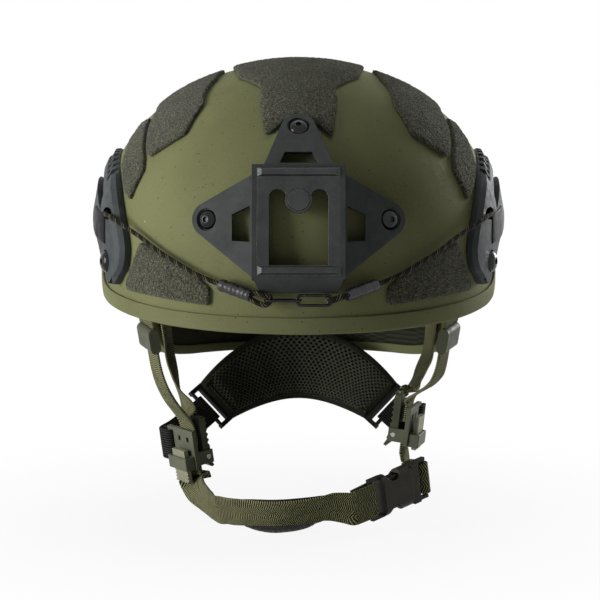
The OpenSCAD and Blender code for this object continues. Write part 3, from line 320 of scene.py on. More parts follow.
def tube(path, radius, sides=14, step=0.8, around=None):
    """Round tube. radius may be a function of the share along the path."""
    p = even(path, step)
    t = tangents(p)
    u = unit(np.cross(t[0], (0.31, 0.2, 0.93) if around is None else around))
    rings = []
    for i in range(len(p)):
        u = unit(u - t[i] * (u @ t[i]))
        v = np.cross(t[i], u)
        r = radius(i / (len(p) - 1)) if callable(radius) else radius
        rings.append([p[i] + r * (u * math.cos(k) + v * math.sin(k))
                      for k in np.linspace(0, 2 * math.pi, sides, endpoint=False)])
    return loft(rings, np.linspace(0, 2 * math.pi * 1.5, sides + 1))


def stitches(path, normals, pitch=3.0, length=2.0, radius=0.24):
    """A row of sewn thread: each stitch rises out of the cloth and goes back into it."""
    path = np.hstack([np.asarray(path, float), np.broadcast_to(np.asarray(normals, float), np.shape(path))])
    rows = even(path, 0.5)
    total = lengths(rows[:, :3])
    points, faces, uvs = [], [], []
    shape = ((-0.5, -1.2), (-0.34, 0.25), (0, 0.7), (0.34, 0.25), (0.5, -1.2))
    for s in np.arange(pitch / 2, total[-1] - pitch / 2, pitch):
        row = [np.interp(s, total, rows[:, k]) for k in range(6)]
        after = [np.interp(s + 0.5, total, rows[:, k]) for k in range(3)]
        c, n = vec(*row[:3]), unit(row[3:])
        t = unit(vec(*after) - c)
        side = np.cross(n, t)
        start = len(points)
        for x, y in shape:
            for k in range(6):
                a = k * math.pi / 3
                points.append(c + t * x * length + n * (y * radius + radius * math.sin(a))
                              + side * radius * math.cos(a))
        for i in range(4):
            for k in range(6):
                h = (k + 1) % 6
                faces.append([start + i * 6 + k, start + i * 6 + h, start + i * 6 + 6 + h,
                              start + i * 6 + 6 + k])
                uvs.append([(0, 0)] * 4)
    return np.array(points), faces, uvs


def bend_sheet(outline, to_surface, low, high, cell, rough, seed):
    """Thick cloth cut to a flat outline and laid on a surface, its top pricked up at random."""
    rng = random.Random(seed)
    closed = np.vstack([outline, outline[:1]])
    edge = even(np.hstack([closed, np.zeros((len(closed), 1))]), cell)[:-1, :2]
    edge = edge + np.array([[rng.uniform(-0.12, 0.12) for _ in range(2)] for _ in edge])
    lo, hi = edge.min(0), edge.max(0)
    inner = []
    rows = int((hi[1] - lo[1]) / (cell * 0.87))
    for j in range(rows):
        y = lo[1] + (j + 0.5) * cell * 0.87
        for i in range(int((hi[0] - lo[0]) / cell) + 1):
            inner.append((lo[0] + (i + 0.5 * (j % 2)) * cell + rng.uniform(-0.2, 0.2) * cell,
                          y + rng.uniform(-0.2, 0.2) * cell))
    inner = np.array(inner)
    a, b = edge, np.roll(edge, -1, 0)
    inside = np.zeros(len(inner), bool)
    near = np.full(len(inner), 1e9)
    for k in range(len(a)):
        (x0, y0), (x1, y1) = a[k], b[k]
        crosses = ((y0 > inner[:, 1]) != (y1 > inner[:, 1]))
        with np.errstate(divide="ignore", invalid="ignore"):
            at = x0 + (inner[:, 1] - y0) / (y1 - y0) * (x1 - x0)
        inside ^= crosses & (inner[:, 0] < at)
        near = np.minimum(near, np.hypot(inner[:, 0] - x0, inner[:, 1] - y0))
    keep = inside & (near > 0.75 * cell)
    inner, near = inner[keep], near[keep]
    n = len(edge)
    flat = [Vector(p) for p in np.vstack([edge, inner])]
    points, _, faces, _, _, _ = geometry.delaunay_2d_cdt(flat, [], [list(range(n))], 1, 1e-5)
    points = np.array([tuple(p) for p in points])
    faces = [list(f) for f in faces]
    rise = np.empty(len(points))
    for i, (x, y) in enumerate(points):
        tuft = noise.noise(Vector((x * 0.55, y * 0.55, seed))) * 0.5 + rng.uniform(-0.5, 0.5)
        rise[i] = high - (0.55 if i < n else 0) + rough * tuft
    for i in range(n, len(points)):
        rise[i] -= 0.35 * max(0, 1 - near[i - n] / 1.6) if i - n < len(near) else 0
    top = to_surface(points[:, 0], points[:, 1], rise)
    base = to_surface(points[:n, 0], points[:n, 1], np.full(n, low))
    skirt = [[i, (i + 1) % n, len(points) + (i + 1) % n, len(points) + i] for i in range(n)]
    turned = sum(edge[i][0] * edge[(i + 1) % n][1] - edge[i][1] * edge[(i + 1) % n][0] for i in range(n)) < 0
    all_faces = faces + [f if turned else f[::-1] for f in skirt]
    every = np.vstack([top, base])
    flat_all = np.vstack([points, points[:n]])
    return every, all_faces, [[tuple(flat_all[v]) for v in f] for f in all_faces]


# Finishes
def srgb(r, g, b):
    """Linear colour of a displayed one, 0 to 255."""
    linear = (v / 255 / 12.92 if v < 11 else ((v / 255 + 0.055) / 1.055) ** 2.4 for v in (r, g, b))
    return (*linear, 1.0)


class Finish:
    """A material, with short ways to add nodes to it. Sizes are millimetres."""

    def __init__(self, name, rough=0.6, metal=0.0, shine=0.3, sheen=0.0):
        self.material = bpy.data.materials.new(name)
        self.material.use_nodes = True
        self.tree = self.material.node_tree
        self.shader = self.tree.nodes["Principled BSDF"]
        for socket, value in (("Roughness", rough), ("Metallic", metal), ("Specular IOR Level", shine),
                              ("Sheen Weight", sheen)):
            self.shader.inputs[socket].default_value = value
        place = self.node("TexCoord").outputs["Object"]
        self.place = self.node("VectorMath", {0: place, 1: (1000, 1000, 1000)},
                               operation="MULTIPLY").outputs[0]
        self.relief = None

    def node(self, kind, inputs=None, **settings):
        made = self.tree.nodes.new("ShaderNode" + kind)
        for key, value in settings.items():
            setattr(made, key, value)
        for key, value in (inputs or {}).items():
            self.feed(made.inputs[key], value)
        return made

    def feed(self, socket, value):
        if isinstance(value, bpy.types.NodeSocket):
            self.tree.links.new(value, socket)
        else:
            socket.default_value = value

    def noise(self, size, detail=3.0, rough=0.5, at=None, warp=0.0):
        return self.node("TexNoise", {"Vector": at or self.place, "Scale": 1 / size, "Detail": detail,
                                      "Roughness": rough, "Distortion": warp}).outputs["Fac"]

    def cells(self, size, feature="F1", random_share=1.0, at=None, output="Distance"):
        return self.node("TexVoronoi", {"Vector": at or self.place, "Scale": 1 / size,
                                        "Randomness": random_share}, feature=feature).outputs[output]

    def math(self, how, a, b=0.0):
        return self.node("Math", {0: a, 1: b}, operation=how).outputs[0]

    def span(self, value, low, high, to_low=0.0, to_high=1.0):
        return self.node("MapRange", {"Value": value, "From Min": low, "From Max": high, "To Min": to_low,
                                      "To Max": to_high}, interpolation_type="SMOOTHSTEP").outputs["Result"]

    def mix(self, share, a, b, how="MIX"):
        made = self.node("Mix", data_type="RGBA", blend_type=how)
        for k, value in ((0, share), (6, a), (7, b)):
            self.feed(made.inputs[k], value)
        return made.outputs[2]

    def run(self):
        """Millimetres along and across a strap or cord."""
        made = self.node("SeparateXYZ", {0: self.node("UVMap", uv_map="run").outputs[0]})
        return made.outputs[0], made.outputs[1]

    def bump(self, height, depth):
        made = self.node("Bump", {"Height": height, "Distance": depth * MM, "Strength": 1.0})
        if self.relief:
            self.feed(made.inputs["Normal"], self.relief)
        self.relief = made.outputs["Normal"]
        self.feed(self.shader.inputs["Normal"], self.relief)

    def soften(self, radius):
        """Rounds sharp edges in the shading, under any relief."""
        self.relief = self.node("Bevel", {"Radius": radius * MM}, samples=6).outputs["Normal"]
        self.feed(self.shader.inputs["Normal"], self.relief)

    def worn(self, radius):
        """1 along sharp edges, broken up, and 0 on flat faces."""
        bent = self.node("Bevel", {"Radius": radius * MM}, samples=6).outputs["Normal"]
        flat = self.node("NewGeometry").outputs["Normal"]
        same = self.node("VectorMath", {0: bent, 1: flat}, operation="DOT_PRODUCT").outputs["Value"]
        return self.math("MULTIPLY", self.span(same, 0.99, 0.86), self.span(self.noise(1.1, 4), 0.38, 0.62))

    def colour(self, socket):
        self.feed(self.shader.inputs["Base Color"], socket)

    def roughness(self, socket):
        self.feed(self.shader.inputs["Roughness"], socket)


def paint(name, base, deep, pale, dust):
    """Matt textured paint with fine dark specks, a few pale chips and slow mottling."""
    f = Finish(name, rough=0.68, shine=0.08)
    slow = f.noise(55, 2)
    colour = f.mix(f.span(slow, 0.3, 0.7), deep, base)
    colour = f.mix(f.span(f.noise(1.4, 5, 0.7), 0.45, 0.8, 0, 0.3), colour, pale)
    spots = f.math("MULTIPLY", f.span(f.cells(3.4), 0.16, 0.07), f.span(f.noise(9, 2), 0.5, 0.56))
    more = f.math("MULTIPLY", f.span(f.cells(1.5), 0.2, 0.08),
                  f.span(f.noise(4, 2, at=f.place), 0.56, 0.62))
    colour = f.mix(f.math("MULTIPLY", f.math("MAXIMUM", spots, more), 0.75), colour, dust)
    chips = f.math("MULTIPLY", f.span(f.cells(17), 0.035, 0.02), f.span(f.noise(30, 1), 0.5, 0.55))
    colour = f.mix(chips, colour, srgb(214, 206, 160))
    f.colour(colour)
    f.roughness(f.span(f.noise(2.4, 4), 0.3, 0.75, 0.6, 0.78))
    f.bump(f.noise(0.9, 4, 0.6), 0.14)
    f.bump(f.math("MAXIMUM", spots, more), -0.12)
    return f.material


def loops(name, dark, mid, pale):
    """Coarse loop pile of short loops, coloured by height: painted shade in the dark gaps and a painted
    highlight on the bright loop tops.
    """
    f = Finish(name, rough=0.92, shine=0.03, sheen=0.3)
    pile = f.noise(0.95, 6, 0.78, warp=0.6)
    tufts = f.cells(0.9)
    height = f.math("ADD", f.math("MULTIPLY", pile, 1.2), f.math("MULTIPLY", tufts, -0.45))
    # Colour follows the pile height: painted shade in the low gaps, painted highlight on the high loop tops.
    colour = f.mix(f.span(height, 0.12, 0.42), dark, mid)
    colour = f.mix(f.span(height, 0.42, 0.62, 0, 0.95), colour, pale)
    colour = f.mix(f.span(f.noise(11, 3), 0.35, 0.75, 0, 0.28), colour, dark)
    f.colour(colour)
    f.bump(height, 0.9)
    return f.material


def plastic(name, base, deep, pale, rough=0.55, grain=0.5, depth=0.05, shine=0.35, wear=0.5,
            round_off=0.35):
    """Moulded plastic with fine grain, faint flow marks and rubbed edges."""
    f = Finish(name, rough=rough, shine=shine)
    f.soften(round_off)
    colour = f.mix(f.span(f.noise(14, 4, 0.6), 0.32, 0.7), deep, base)
    colour = f.mix(f.span(f.noise(grain, 4, 0.7), 0.5, 0.85, 0, 0.35), colour, pale)
    colour = f.mix(f.math("MULTIPLY", f.worn(round_off + 0.25), wear), colour, pale)
    scuffs = f.math("MULTIPLY", f.span(f.noise(7, 5, 0.75, warp=1.5), 0.62, 0.7), 0.35)
    f.colour(f.mix(scuffs, colour, pale))
    f.roughness(f.span(f.noise(4, 4), 0.3, 0.75, rough - 0.07, rough + 0.1))
    f.bump(f.noise(grain, 3, 0.6), depth)
    return f.material


def metal(name, base, deep, edge, rough=0.36, metallic=0.85, wear=0.8, round_off=0.3):
    """Anodised or blackened metal, blasted fine, brighter where its edges are rubbed."""
    f = Finish(name, rough=rough, metal=metallic, shine=0.5)
    f.soften(round_off)
    colour = f.mix(f.span(f.noise(10, 3), 0.35, 0.7), deep, base)
    colour = f.mix(f.math("MULTIPLY", f.worn(round_off + 0.3), wear), colour, edge)
    drawn = f.node("VectorMath", {0: f.place, 1: (0.25, 0.25, 5)}, operation="MULTIPLY").outputs[0]
    scratches = f.noise(1, 2, at=drawn)
    f.colour(f.mix(f.span(scratches, 0.66, 0.72, 0, 0.2), colour, edge))
    f.roughness(f.span(f.noise(1.6, 5, 0.7), 0.3, 0.75, rough - 0.08, rough + 0.12))
    f.bump(f.noise(0.3, 2), 0.012)
    return f.material


def rubber(name, base, deep, pale, rough=0.5, shine=0.4, crease=6.0):
    """Soft rubber with faint creases and dust."""
    f = Finish(name, rough=rough, shine=shine)
    colour = f.mix(f.span(f.noise(8, 4), 0.3, 0.7), deep, base)
    f.colour(f.mix(f.span(f.noise(1.3, 5, 0.7), 0.55, 0.8, 0, 0.4), colour, pale))
    f.roughness(f.span(f.noise(3, 4), 0.3, 0.7, rough - 0.1, rough + 0.12))
    f.bump(f.noise(crease, 4, 0.6, warp=1.0), 0.35)
    f.bump(f.noise(0.5, 2), 0.03)
    return f.material


def weave(name, dark, mid, pale, pitch=1.25, slope=0.45, fold=4.8, contrast=0.9, rough=0.82):
    """Herringbone webbing: slanted ribs that turn back across the strap."""
    f = Finish(name, rough=rough, shine=0.04, sheen=0.03)
    along, across = f.run()
    zig = f.math("PINGPONG", f.math("ADD", across, 40 * fold), fold)
    phase = f.math("MULTIPLY", f.math("ADD", along, f.math("MULTIPLY", zig, slope)), 2 * math.pi / pitch)
    rib = f.span(f.math("SINE", phase), -0.9, 0.9)
    thread = f.span(f.math("SINE", f.math("MULTIPLY", across, 2 * math.pi / 0.75)), -1, 1)
    height = f.math("MULTIPLY", rib, f.math("ADD", 0.7, f.math("MULTIPLY", thread, 0.3)))
    fuzz = f.noise(0.7, 4, 0.7)
    # Colour follows the rib height: painted shade in the grooves and a painted highlight on the ribs, with
    # random fuzz.
    lit = f.math("ADD", height, f.math("MULTIPLY", f.math("SUBTRACT", fuzz, 0.5), 0.5))
    colour = f.mix(f.span(lit, 0.1, 0.5), dark, mid)
    colour = f.mix(f.span(lit, 0.5, 0.85, 0, contrast), colour, pale)
    f.colour(f.mix(f.span(f.noise(13, 3), 0.4, 0.75, 0, 0.3), colour, dark))
    f.bump(height, 0.32)
    f.bump(fuzz, 0.08)
    return f.material


def ribbed(name, dark, mid, pale, pitch=1.5):
    """Webbing with cords that run along it."""
    f = Finish(name, rough=0.8, shine=0.05, sheen=0.02)
    along, across = f.run()
    cord = f.span(f.math("SINE", f.math("MULTIPLY", across, 2 * math.pi / pitch)), -0.9, 0.9)
    tick = f.span(f.math("SINE", f.math("MULTIPLY", along, 2 * math.pi / 0.8)), -1, 1)
    height = f.math("ADD", f.math("MULTIPLY", cord, 0.8), f.math("MULTIPLY", tick, 0.2))
    # Colour follows the cord height: painted shade between the cords and a painted highlight on their tops.
    colour = f.mix(f.span(height, 0.1, 0.6), dark, mid)
    f.colour(f.mix(f.span(f.math("ADD", height, f.noise(0.8, 4, 0.7)), 1.05, 1.5, 0, 0.6), colour, pale))
    f.bump(height, 0.28)
    return f.material


def braid(name, dark, mid, pale):
    """Braided cord sleeve with a pale tracer."""
    f = Finish(name, rough=0.75, shine=0.08)
    along, around = f.run()
    turn = f.math("MULTIPLY", around, 0.9)
    one = f.math("SINE", f.math("MULTIPLY", f.math("ADD", along, turn), 2 * math.pi / 1.7))
    two = f.math("SINE", f.math("MULTIPLY", f.math("SUBTRACT", along, turn), 2 * math.pi / 1.7))
    height = f.math("MAXIMUM", one, two)
    # Colour follows the strand height: painted shade where the strands dip. The pale tracer is a strand of
    # its own colour.
    colour = f.mix(f.span(height, -0.2, 0.9), dark, mid)
    pick = f.math("SINE", f.math("MULTIPLY", f.math("ADD", along, turn), 2 * math.pi / 6.8))
    tracer = f.math("MULTIPLY", f.span(one, 0.55, 0.85), f.span(pick, 0.1, 0.6))
    f.colour(f.mix(tracer, colour, pale))
    f.bump(height, 0.22)
    return f.material


def spacer(name, dark, mid, pale, wide=3.6, tall=4.2):
    """Air mesh: staggered oval holes in a thick knit."""
    f = Finish(name, rough=0.85, shine=0.05, sheen=0.03)
    along, across = f.run()
    near = None
    for shift in (0, 0.5):
        x = f.math("ADD", f.math("DIVIDE", along, wide), 60 + shift)
        y = f.math("ADD", f.math("DIVIDE", across, tall), 60 + shift)
        x = f.math("SUBTRACT", f.math("FRACT", x), 0.5)
        y = f.math("SUBTRACT", f.math("FRACT", y), 0.5)
        x = f.math("MULTIPLY", x, wide / 1.15)
        y = f.math("MULTIPLY", y, tall / 0.95)
        d = f.math("SQRT", f.math("ADD", f.math("MULTIPLY", x, x), f.math("MULTIPLY", y, y)))
        near = d if near is None else f.math("MINIMUM", near, d)
    height = f.span(near, 0.55, 1.15)
    yarn = f.noise(0.55, 4, 0.7)
    colour = f.mix(height, dark, f.mix(f.span(yarn, 0.35, 0.7), mid, pale))
    f.colour(colour)
    f.bump(height, 0.7)
    f.bump(yarn, 0.12)
    return f.material


def leather(name, base, deep, pale, rough=0.55):
    """Grained leather with pebbles, creases and a rubbed bloom."""
    f = Finish(name, rough=rough, shine=0.15)
    pebble = f.cells(0.9, "DISTANCE_TO_EDGE")
    colour = f.mix(f.span(f.noise(9, 4), 0.3, 0.7), deep, base)
    colour = f.mix(f.span(pebble, 0.0, 0.12, 0.5, 0), colour, deep)
    f.colour(f.mix(f.span(f.noise(5, 5, 0.7), 0.58, 0.75, 0, 0.4), colour, pale))
    f.roughness(f.span(f.noise(2, 4), 0.3, 0.7, rough - 0.1, rough + 0.12))
    f.bump(f.span(pebble, 0, 0.2), 0.1)
    f.bump(f.noise(6, 3, warp=1.2), 0.4)
    return f.material


def cloth(name, base, deep, pale, nap=0.8):
    """Brushed pad cloth with a soft nap."""
    f = Finish(name, rough=0.95, shine=0.02, sheen=0.03)
    fibre = f.noise(nap, 5, 0.75, warp=0.8)
    colour = f.mix(f.span(fibre, 0.3, 0.65), deep, base)
    f.colour(f.mix(f.span(f.noise(16, 3), 0.45, 0.75, 0, 0.35), colour, pale))
    f.bump(fibre, 0.25)
    f.bump(f.noise(12, 3), 0.8)
    return f.material


def hooks(name, base, pale):
    """Hook tape: stiff little hooks in rows."""
    f = Finish(name, rough=0.6, shine=0.1)
    head = f.cells(1.3, "F1", 0.25)
    # The hook heads are paler than the tape: a painted highlight on their raised tops.
    f.colour(f.mix(f.span(head, 0.3, 0.1), base, pale))
    f.bump(f.span(head, 0.45, 0.1), 0.6)
    return f.material


def thread(name, base, deep):
    f = Finish(name, rough=0.8, shine=0.05)
    f.colour(f.mix(f.span(f.noise(0.5, 3), 0.35, 0.65), deep, base))
    f.bump(f.noise(0.3, 2), 0.05)
    return f.material


def laminate(name, base, deep):
    """The shell's inner face: resin over woven cloth."""
    f = Finish(name, rough=0.6, shine=0.08)
    x, y, z = (f.node("SeparateXYZ", {0: f.place}).outputs[k] for k in range(3))
    turn = f.math("ADD", x, y)
    one = f.math("SINE", f.math("MULTIPLY", turn, 2 * math.pi / 3.2))
    two = f.math("SINE", f.math("MULTIPLY", z, 2 * math.pi / 3.2))
    height = f.math("MULTIPLY", one, two)
    f.colour(f.mix(f.span(f.math("ADD", height, f.noise(6, 3)), 0, 1.2), deep, base))
    f.bump(height, 0.1)
    return f.material


# Modifiers that keep a CAD node's mesh and give it welded, rounded and smooth faces
def mesh_group(name):
    """New node group that takes a mesh and gives one back, with its two ends."""
    tree = bpy.data.node_groups.new(name, "GeometryNodeTree")
    for way in ("INPUT", "OUTPUT"):
        tree.interface.new_socket("Geometry", in_out=way, socket_type="NodeSocketGeometry")
    return tree, tree.nodes.new("NodeGroupInput"), tree.nodes.new("NodeGroupOutput")


def cleaning():
    """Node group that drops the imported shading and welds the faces."""
    tree, start, end = mesh_group("weld_faces")
    drop = tree.nodes.new("GeometryNodeRemoveAttribute")
    drop.inputs["Name"].default_value = "custom_normal"
    weld = tree.nodes.new("GeometryNodeMergeByDistance")
    weld.inputs["Distance"].default_value = 1e-6
    tree.links.new(start.outputs[0], drop.inputs[0])
    tree.links.new(drop.outputs[0], weld.inputs[0])
    tree.links.new(weld.outputs[0], end.inputs[0])
    return tree


def smoothing(angle):
    """Node group that shades smooth but for edges sharper than an angle."""
    tree, start, end = mesh_group("smooth_faces")
    turn = tree.nodes.new("GeometryNodeInputMeshEdgeAngle")
    sharp = tree.nodes.new("FunctionNodeCompare")
    sharp.operation = "GREATER_THAN"
    sharp.inputs[1].default_value = math.radians(angle)
    faces, edges = (tree.nodes.new("GeometryNodeSetShadeSmooth") for _ in range(2))
    faces.domain, edges.domain = "FACE", "EDGE"
    edges.inputs["Shade Smooth"].default_value = False
    tree.links.new(turn.outputs[0], sharp.inputs[0])
    tree.links.new(start.outputs[0], faces.inputs[0])
    tree.links.new(faces.outputs[0], edges.inputs[0])
    tree.links.new(sharp.outputs[0], edges.inputs["Selection"])
    tree.links.new(edges.outputs[0], end.inputs[0])
    return tree


GROUPS = {}


def refine(node, finish, edge=0.4, angle=34, segments=2, smooth=38):
    """Better faces and finish for a CAD node that is shown."""
    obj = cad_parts[node]
    if "weld" not in GROUPS:
        GROUPS["weld"] = cleaning()
    if smooth not in GROUPS:
        GROUPS[smooth] = smoothing(smooth)
    obj.modifiers.new("weld", "NODES").node_group = GROUPS["weld"]
    if edge:
        plane = obj.modifiers.new("flat", "DECIMATE")
        plane.decimate_type = "DISSOLVE"
        plane.angle_limit = math.radians(0.6)
        bevel = obj.modifiers.new("edge", "BEVEL")
        bevel.width = edge * MM
        bevel.segments = segments
        bevel.limit_method = "ANGLE"
        bevel.angle_limit = math.radians(angle)
        bevel.use_clamp_overlap = True
        bevel.miter_outer = "MITER_ARC"
    obj.modifiers.new("smooth", "NODES").node_group = GROUPS[smooth]
    weight = obj.modifiers.new("weight", "WEIGHTED_NORMAL")
    weight.keep_sharp = True
    for slot in obj.material_slots:
        slot.link = "OBJECT"
        slot.material = finish
    return obj


# Shell and trim
def build_shell(finish, inside):
    def ring(t, off):
        r = [rim_in(a, TRIM_T + TRIM_GAP) for a in COLUMNS]
        share = min(1, 3 * t)
        a = [r[k][0] + (COLUMNS[k] - r[k][0]) * share for k in range(len(COLUMNS))]
        s = [r[k][1] + (90 - r[k][1]) * t for k in range(len(COLUMNS))]
        return curve(on(np.array(a), np.array(s), off), 4, hoop=True)

    levels = [*np.linspace(0, 0.94, 62), 0.96, 0.975, 0.988, 0.9985]
    outer = [ring(t, 0.0) for t in levels]
    inner = [ring(t, -WALL) for t in levels[::-1]]
    shell = loft(inner + outer, closed=True, caps=True)
    obj = piece("shell_body", [shell], [finish, inside], "helmet", ["shell"], angle=60)
    top = (len(levels) - 1) * len(outer[0])
    marks = np.zeros(len(obj.data.polygons), np.int32)
    marks[:top] = 1
    marks[-2] = 1
    obj.data.polygons.foreach_set("material_index", marks)
    return obj


def build_trim(finish):
    low = -WALL - TRIM_GAP
    section = rounded([(0, low - TRIM_T), (6, low - TRIM_T), (6, low), (TRIM_T, low), (TRIM_T, TRIM_GAP),
                       (9, TRIM_GAP), (9, TRIM_GAP + TRIM_T), (0, TRIM_GAP + TRIM_T)],
                      [1.4, 0.5, 0.3, 0.4, 0.4, 0.1, 0.75, 1.5], 4)
    rows = [curve(np.array([on(*rim_in(a, w), off) for a in COLUMNS]), 4, hoop=True) for w, off in section]
    return piece("rim_trim", [loft(np.array(rows).transpose(1, 0, 2), hoop=True)], finish, "helmet",
                 ["edge_trim"], angle=50)


# Loop patches: outlines in azimuth and latitude, the crown's in plan
CROWN_HALF = ((0, -110), (18, -121), (21, -97), (20, -84), (34, -60), (38, -28), (38, 12), (26, 34),
              (24, 62), (12, 74), (0, 66))
PATCHES = {
    "upper": ((37.5, 31), (48.5, 22.8), (50.2, 23.4), (58, 32), (66, 40.5), (79, 46), (80, 56),
              (64, 66), (50, 59), (38, 43.5)),
    "side": ((53, 7.5), (57.5, 12), (63.5, 19), (70, 29), (72, 36.5), (66.8, 38.2), (59.2, 31.2),
             (51.4, 22.3), (49.5, 18)),
    "brow": ((23.5, -25.5), (38, -24), (54, -22.5), (54, -19.5), (47, -6), (28, -15.5), (23.5, -20)),
    "rear": ((157, -32), (203, -32), (205, 2), (192, 18), (168, 18), (155, 2)),
    "rear_side": ((118, 22), (146, 8), (150, 40), (130, 52), (112, 40)),
}


def patch_part(key, cell, rough, seed):
    outline = np.array(PATCHES[key], float)
    c = outline.mean(0)
    wide = float(deg_a(c[0], 0)) * math.cos(math.radians(max(c[1], 0)))
    flat = (outline - c) * vec(wide, DEG_S)
    flat = rounded(flat, 2.2, 4)

    def to_surface(x, y, off):
        return on(c[0] + x / wide, c[1] + y / DEG_S, off)
    return bend_sheet(flat, to_surface, GAP, GAP + 2.1, cell, rough, seed)


def build_patches(finish, settings):
    cell, rough = settings.pile_spacing, settings.pile_height
    half = list(CROWN_HALF)
    crown = rounded(half + [(-x, y) for x, y in half[-2:0:-1]], 2.4, 4)
    parts = bend_sheet(crown, over, GAP, GAP + 2.1, cell, rough, 3)
    piece("loop_crown", [parts], finish, "helmet", ["crown_patch"], 70, False)
    for n, key in enumerate(("upper", "side", "brow", "rear_side")):
        left = patch_part(key, cell, rough, 11 + n)
        piece("loop_" + key, both(left), finish, "helmet", [key + "_patches"], 70, False)
    rear = patch_part("rear", cell, rough, 29)
    piece("loop_rear", [rear], finish, "helmet", ["rear_patch"], 70, False)


# Side rails: azimuth, latitude, half width, share of the groove and flap below, along the middle line
RAIL_T = 6.5
RAIL_ROUTE = np.array(((61, -20.5, 4, 0, 0), (60, -15.5, 11, 0, 0), (59.5, -10.5, 17, 0, 0),
                       (62, -2, 18, 0, 3), (66, 5.5, 17.5, 0, 8), (72.5, 11.5, 16, 1, 12),
                       (80, 15.5, 15.5, 1, 10), (90, 17, 15, 1, 3), (100, 15, 14.5, 1, 0),
                       (109, 8.5, 13, 1, 0), (115.5, -1, 12, 1, 0), (120, -10, 11, 0, 0),
                       (122.5, -16.5, 8, 0, 0), (123.5, -19.5, 4, 0, 0)), float)
GROOVE_W, GROOVE_D, TOOTH_PITCH, TOOTH_GAP, TEETH = 8.0, 3.4, 7.2, 4.0, 9
RAIL_SCREWS = ((62.5, -13.5), (121, -13.5))


class RailLine:
    """The rail's middle line over the shell, with its widths, read at a distance along it."""

    def __init__(self):
        path = curve(RAIL_ROUTE[:, :2], 12)
        share = np.linspace(0, len(RAIL_ROUTE) - 1, len(path))
        sizes = [np.interp(share, range(len(RAIL_ROUTE)), RAIL_ROUTE[:, k]) for k in (2, 3, 4)]
        scale = np.stack([deg_a(path[:-1, 0], path[:-1, 1]), np.full(len(path) - 1, DEG_S)], 1)
        steps = np.diff(path, axis=0) * scale
        self.rows = np.column_stack([path, *sizes])
        self.far = np.concatenate([[0], np.cumsum(np.hypot(steps[:, 0], steps[:, 1]))])

    def at(self, d):
        return np.array([np.interp(d, self.far, self.rows[:, k]) for k in range(5)])

    def where(self, azimuth):
        return float(np.interp(azimuth, self.rows[12 * 3:12 * 10, 0], self.far[12 * 3:12 * 10]))

    def point(self, d, u, h):
        a, b, q = self.at(d - 1), self.at(d + 1), self.at(d)
        run = unit(vec((b[0] - a[0]) * float(deg_a(q[0], q[1])), (b[1] - a[1]) * DEG_S))
        return on(*moved((q[0], q[1]), -run[1] * u, run[0] * u), h)


def rail_section(w, g, flap, notch):
    """Outline across the rail: toothed edge, groove, plate. The inner face follows the shell."""
    m, v = min(GROOVE_W / 2, w / 3), w + flap
    rim = RAIL_T - 2.5 * g
    high, floor, cut = RAIL_T - 1.3 * g, RAIL_T - GROOVE_D * g, 2.3 * notch
    step_out, step_in = m + 0.56 * (w - m), m + 0.44 * (w - m)
    return [(w, GAP), (w, rim - 1.5 - 0.8 * (1 - g) - cut * 0.7), (w - 1.0 - 1.6 * (1 - g), rim - cut),
            (step_out, rim - cut), (step_in, high), (m, high), (m + 1.2 * g, floor),
            (-m - 1.2 * g, floor), (-m, RAIL_T), (1.4 - v, RAIL_T), (-v, RAIL_T - 1.6), (-v, GAP),
            (-0.75 * v, GAP), (-v / 2, GAP), (-v / 4, GAP), (w / 3, GAP)]


def cut_away(obj, cutters):
    """Cuts the cutters out of an object and drops them."""
    for cutter in cutters:
        hole = obj.modifiers.new("cut", "BOOLEAN")
        hole.operation, hole.solver, hole.object, hole.use_self = "DIFFERENCE", "EXACT", cutter, True
    view = bpy.context.evaluated_depsgraph_get()
    mesh = bpy.data.meshes.new_from_object(obj.evaluated_get(view))
    obj.modifiers.clear()
    obj.data = mesh
    for cutter in cutters:
        bpy.data.objects.remove(cutter)


def plain(name, part):
    mesh = bpy.data.meshes.new(name)
    mesh.from_pydata((np.asarray(part[0]) * MM).tolist(), [], part[1])
    mesh.uv_layers.new(name="run")
    obj = bpy.data.objects.new(name, mesh)
    bpy.context.scene.collection.objects.link(obj)
    return obj


def drum(place, profile, sides=48):
    """Turned part: radius and height pairs about the local z axis."""
    turns = np.linspace(0, 2 * math.pi, sides, endpoint=False)
    return loft([[put((r * math.cos(a), r * math.sin(a), h), place) for a in turns] for r, h in profile])


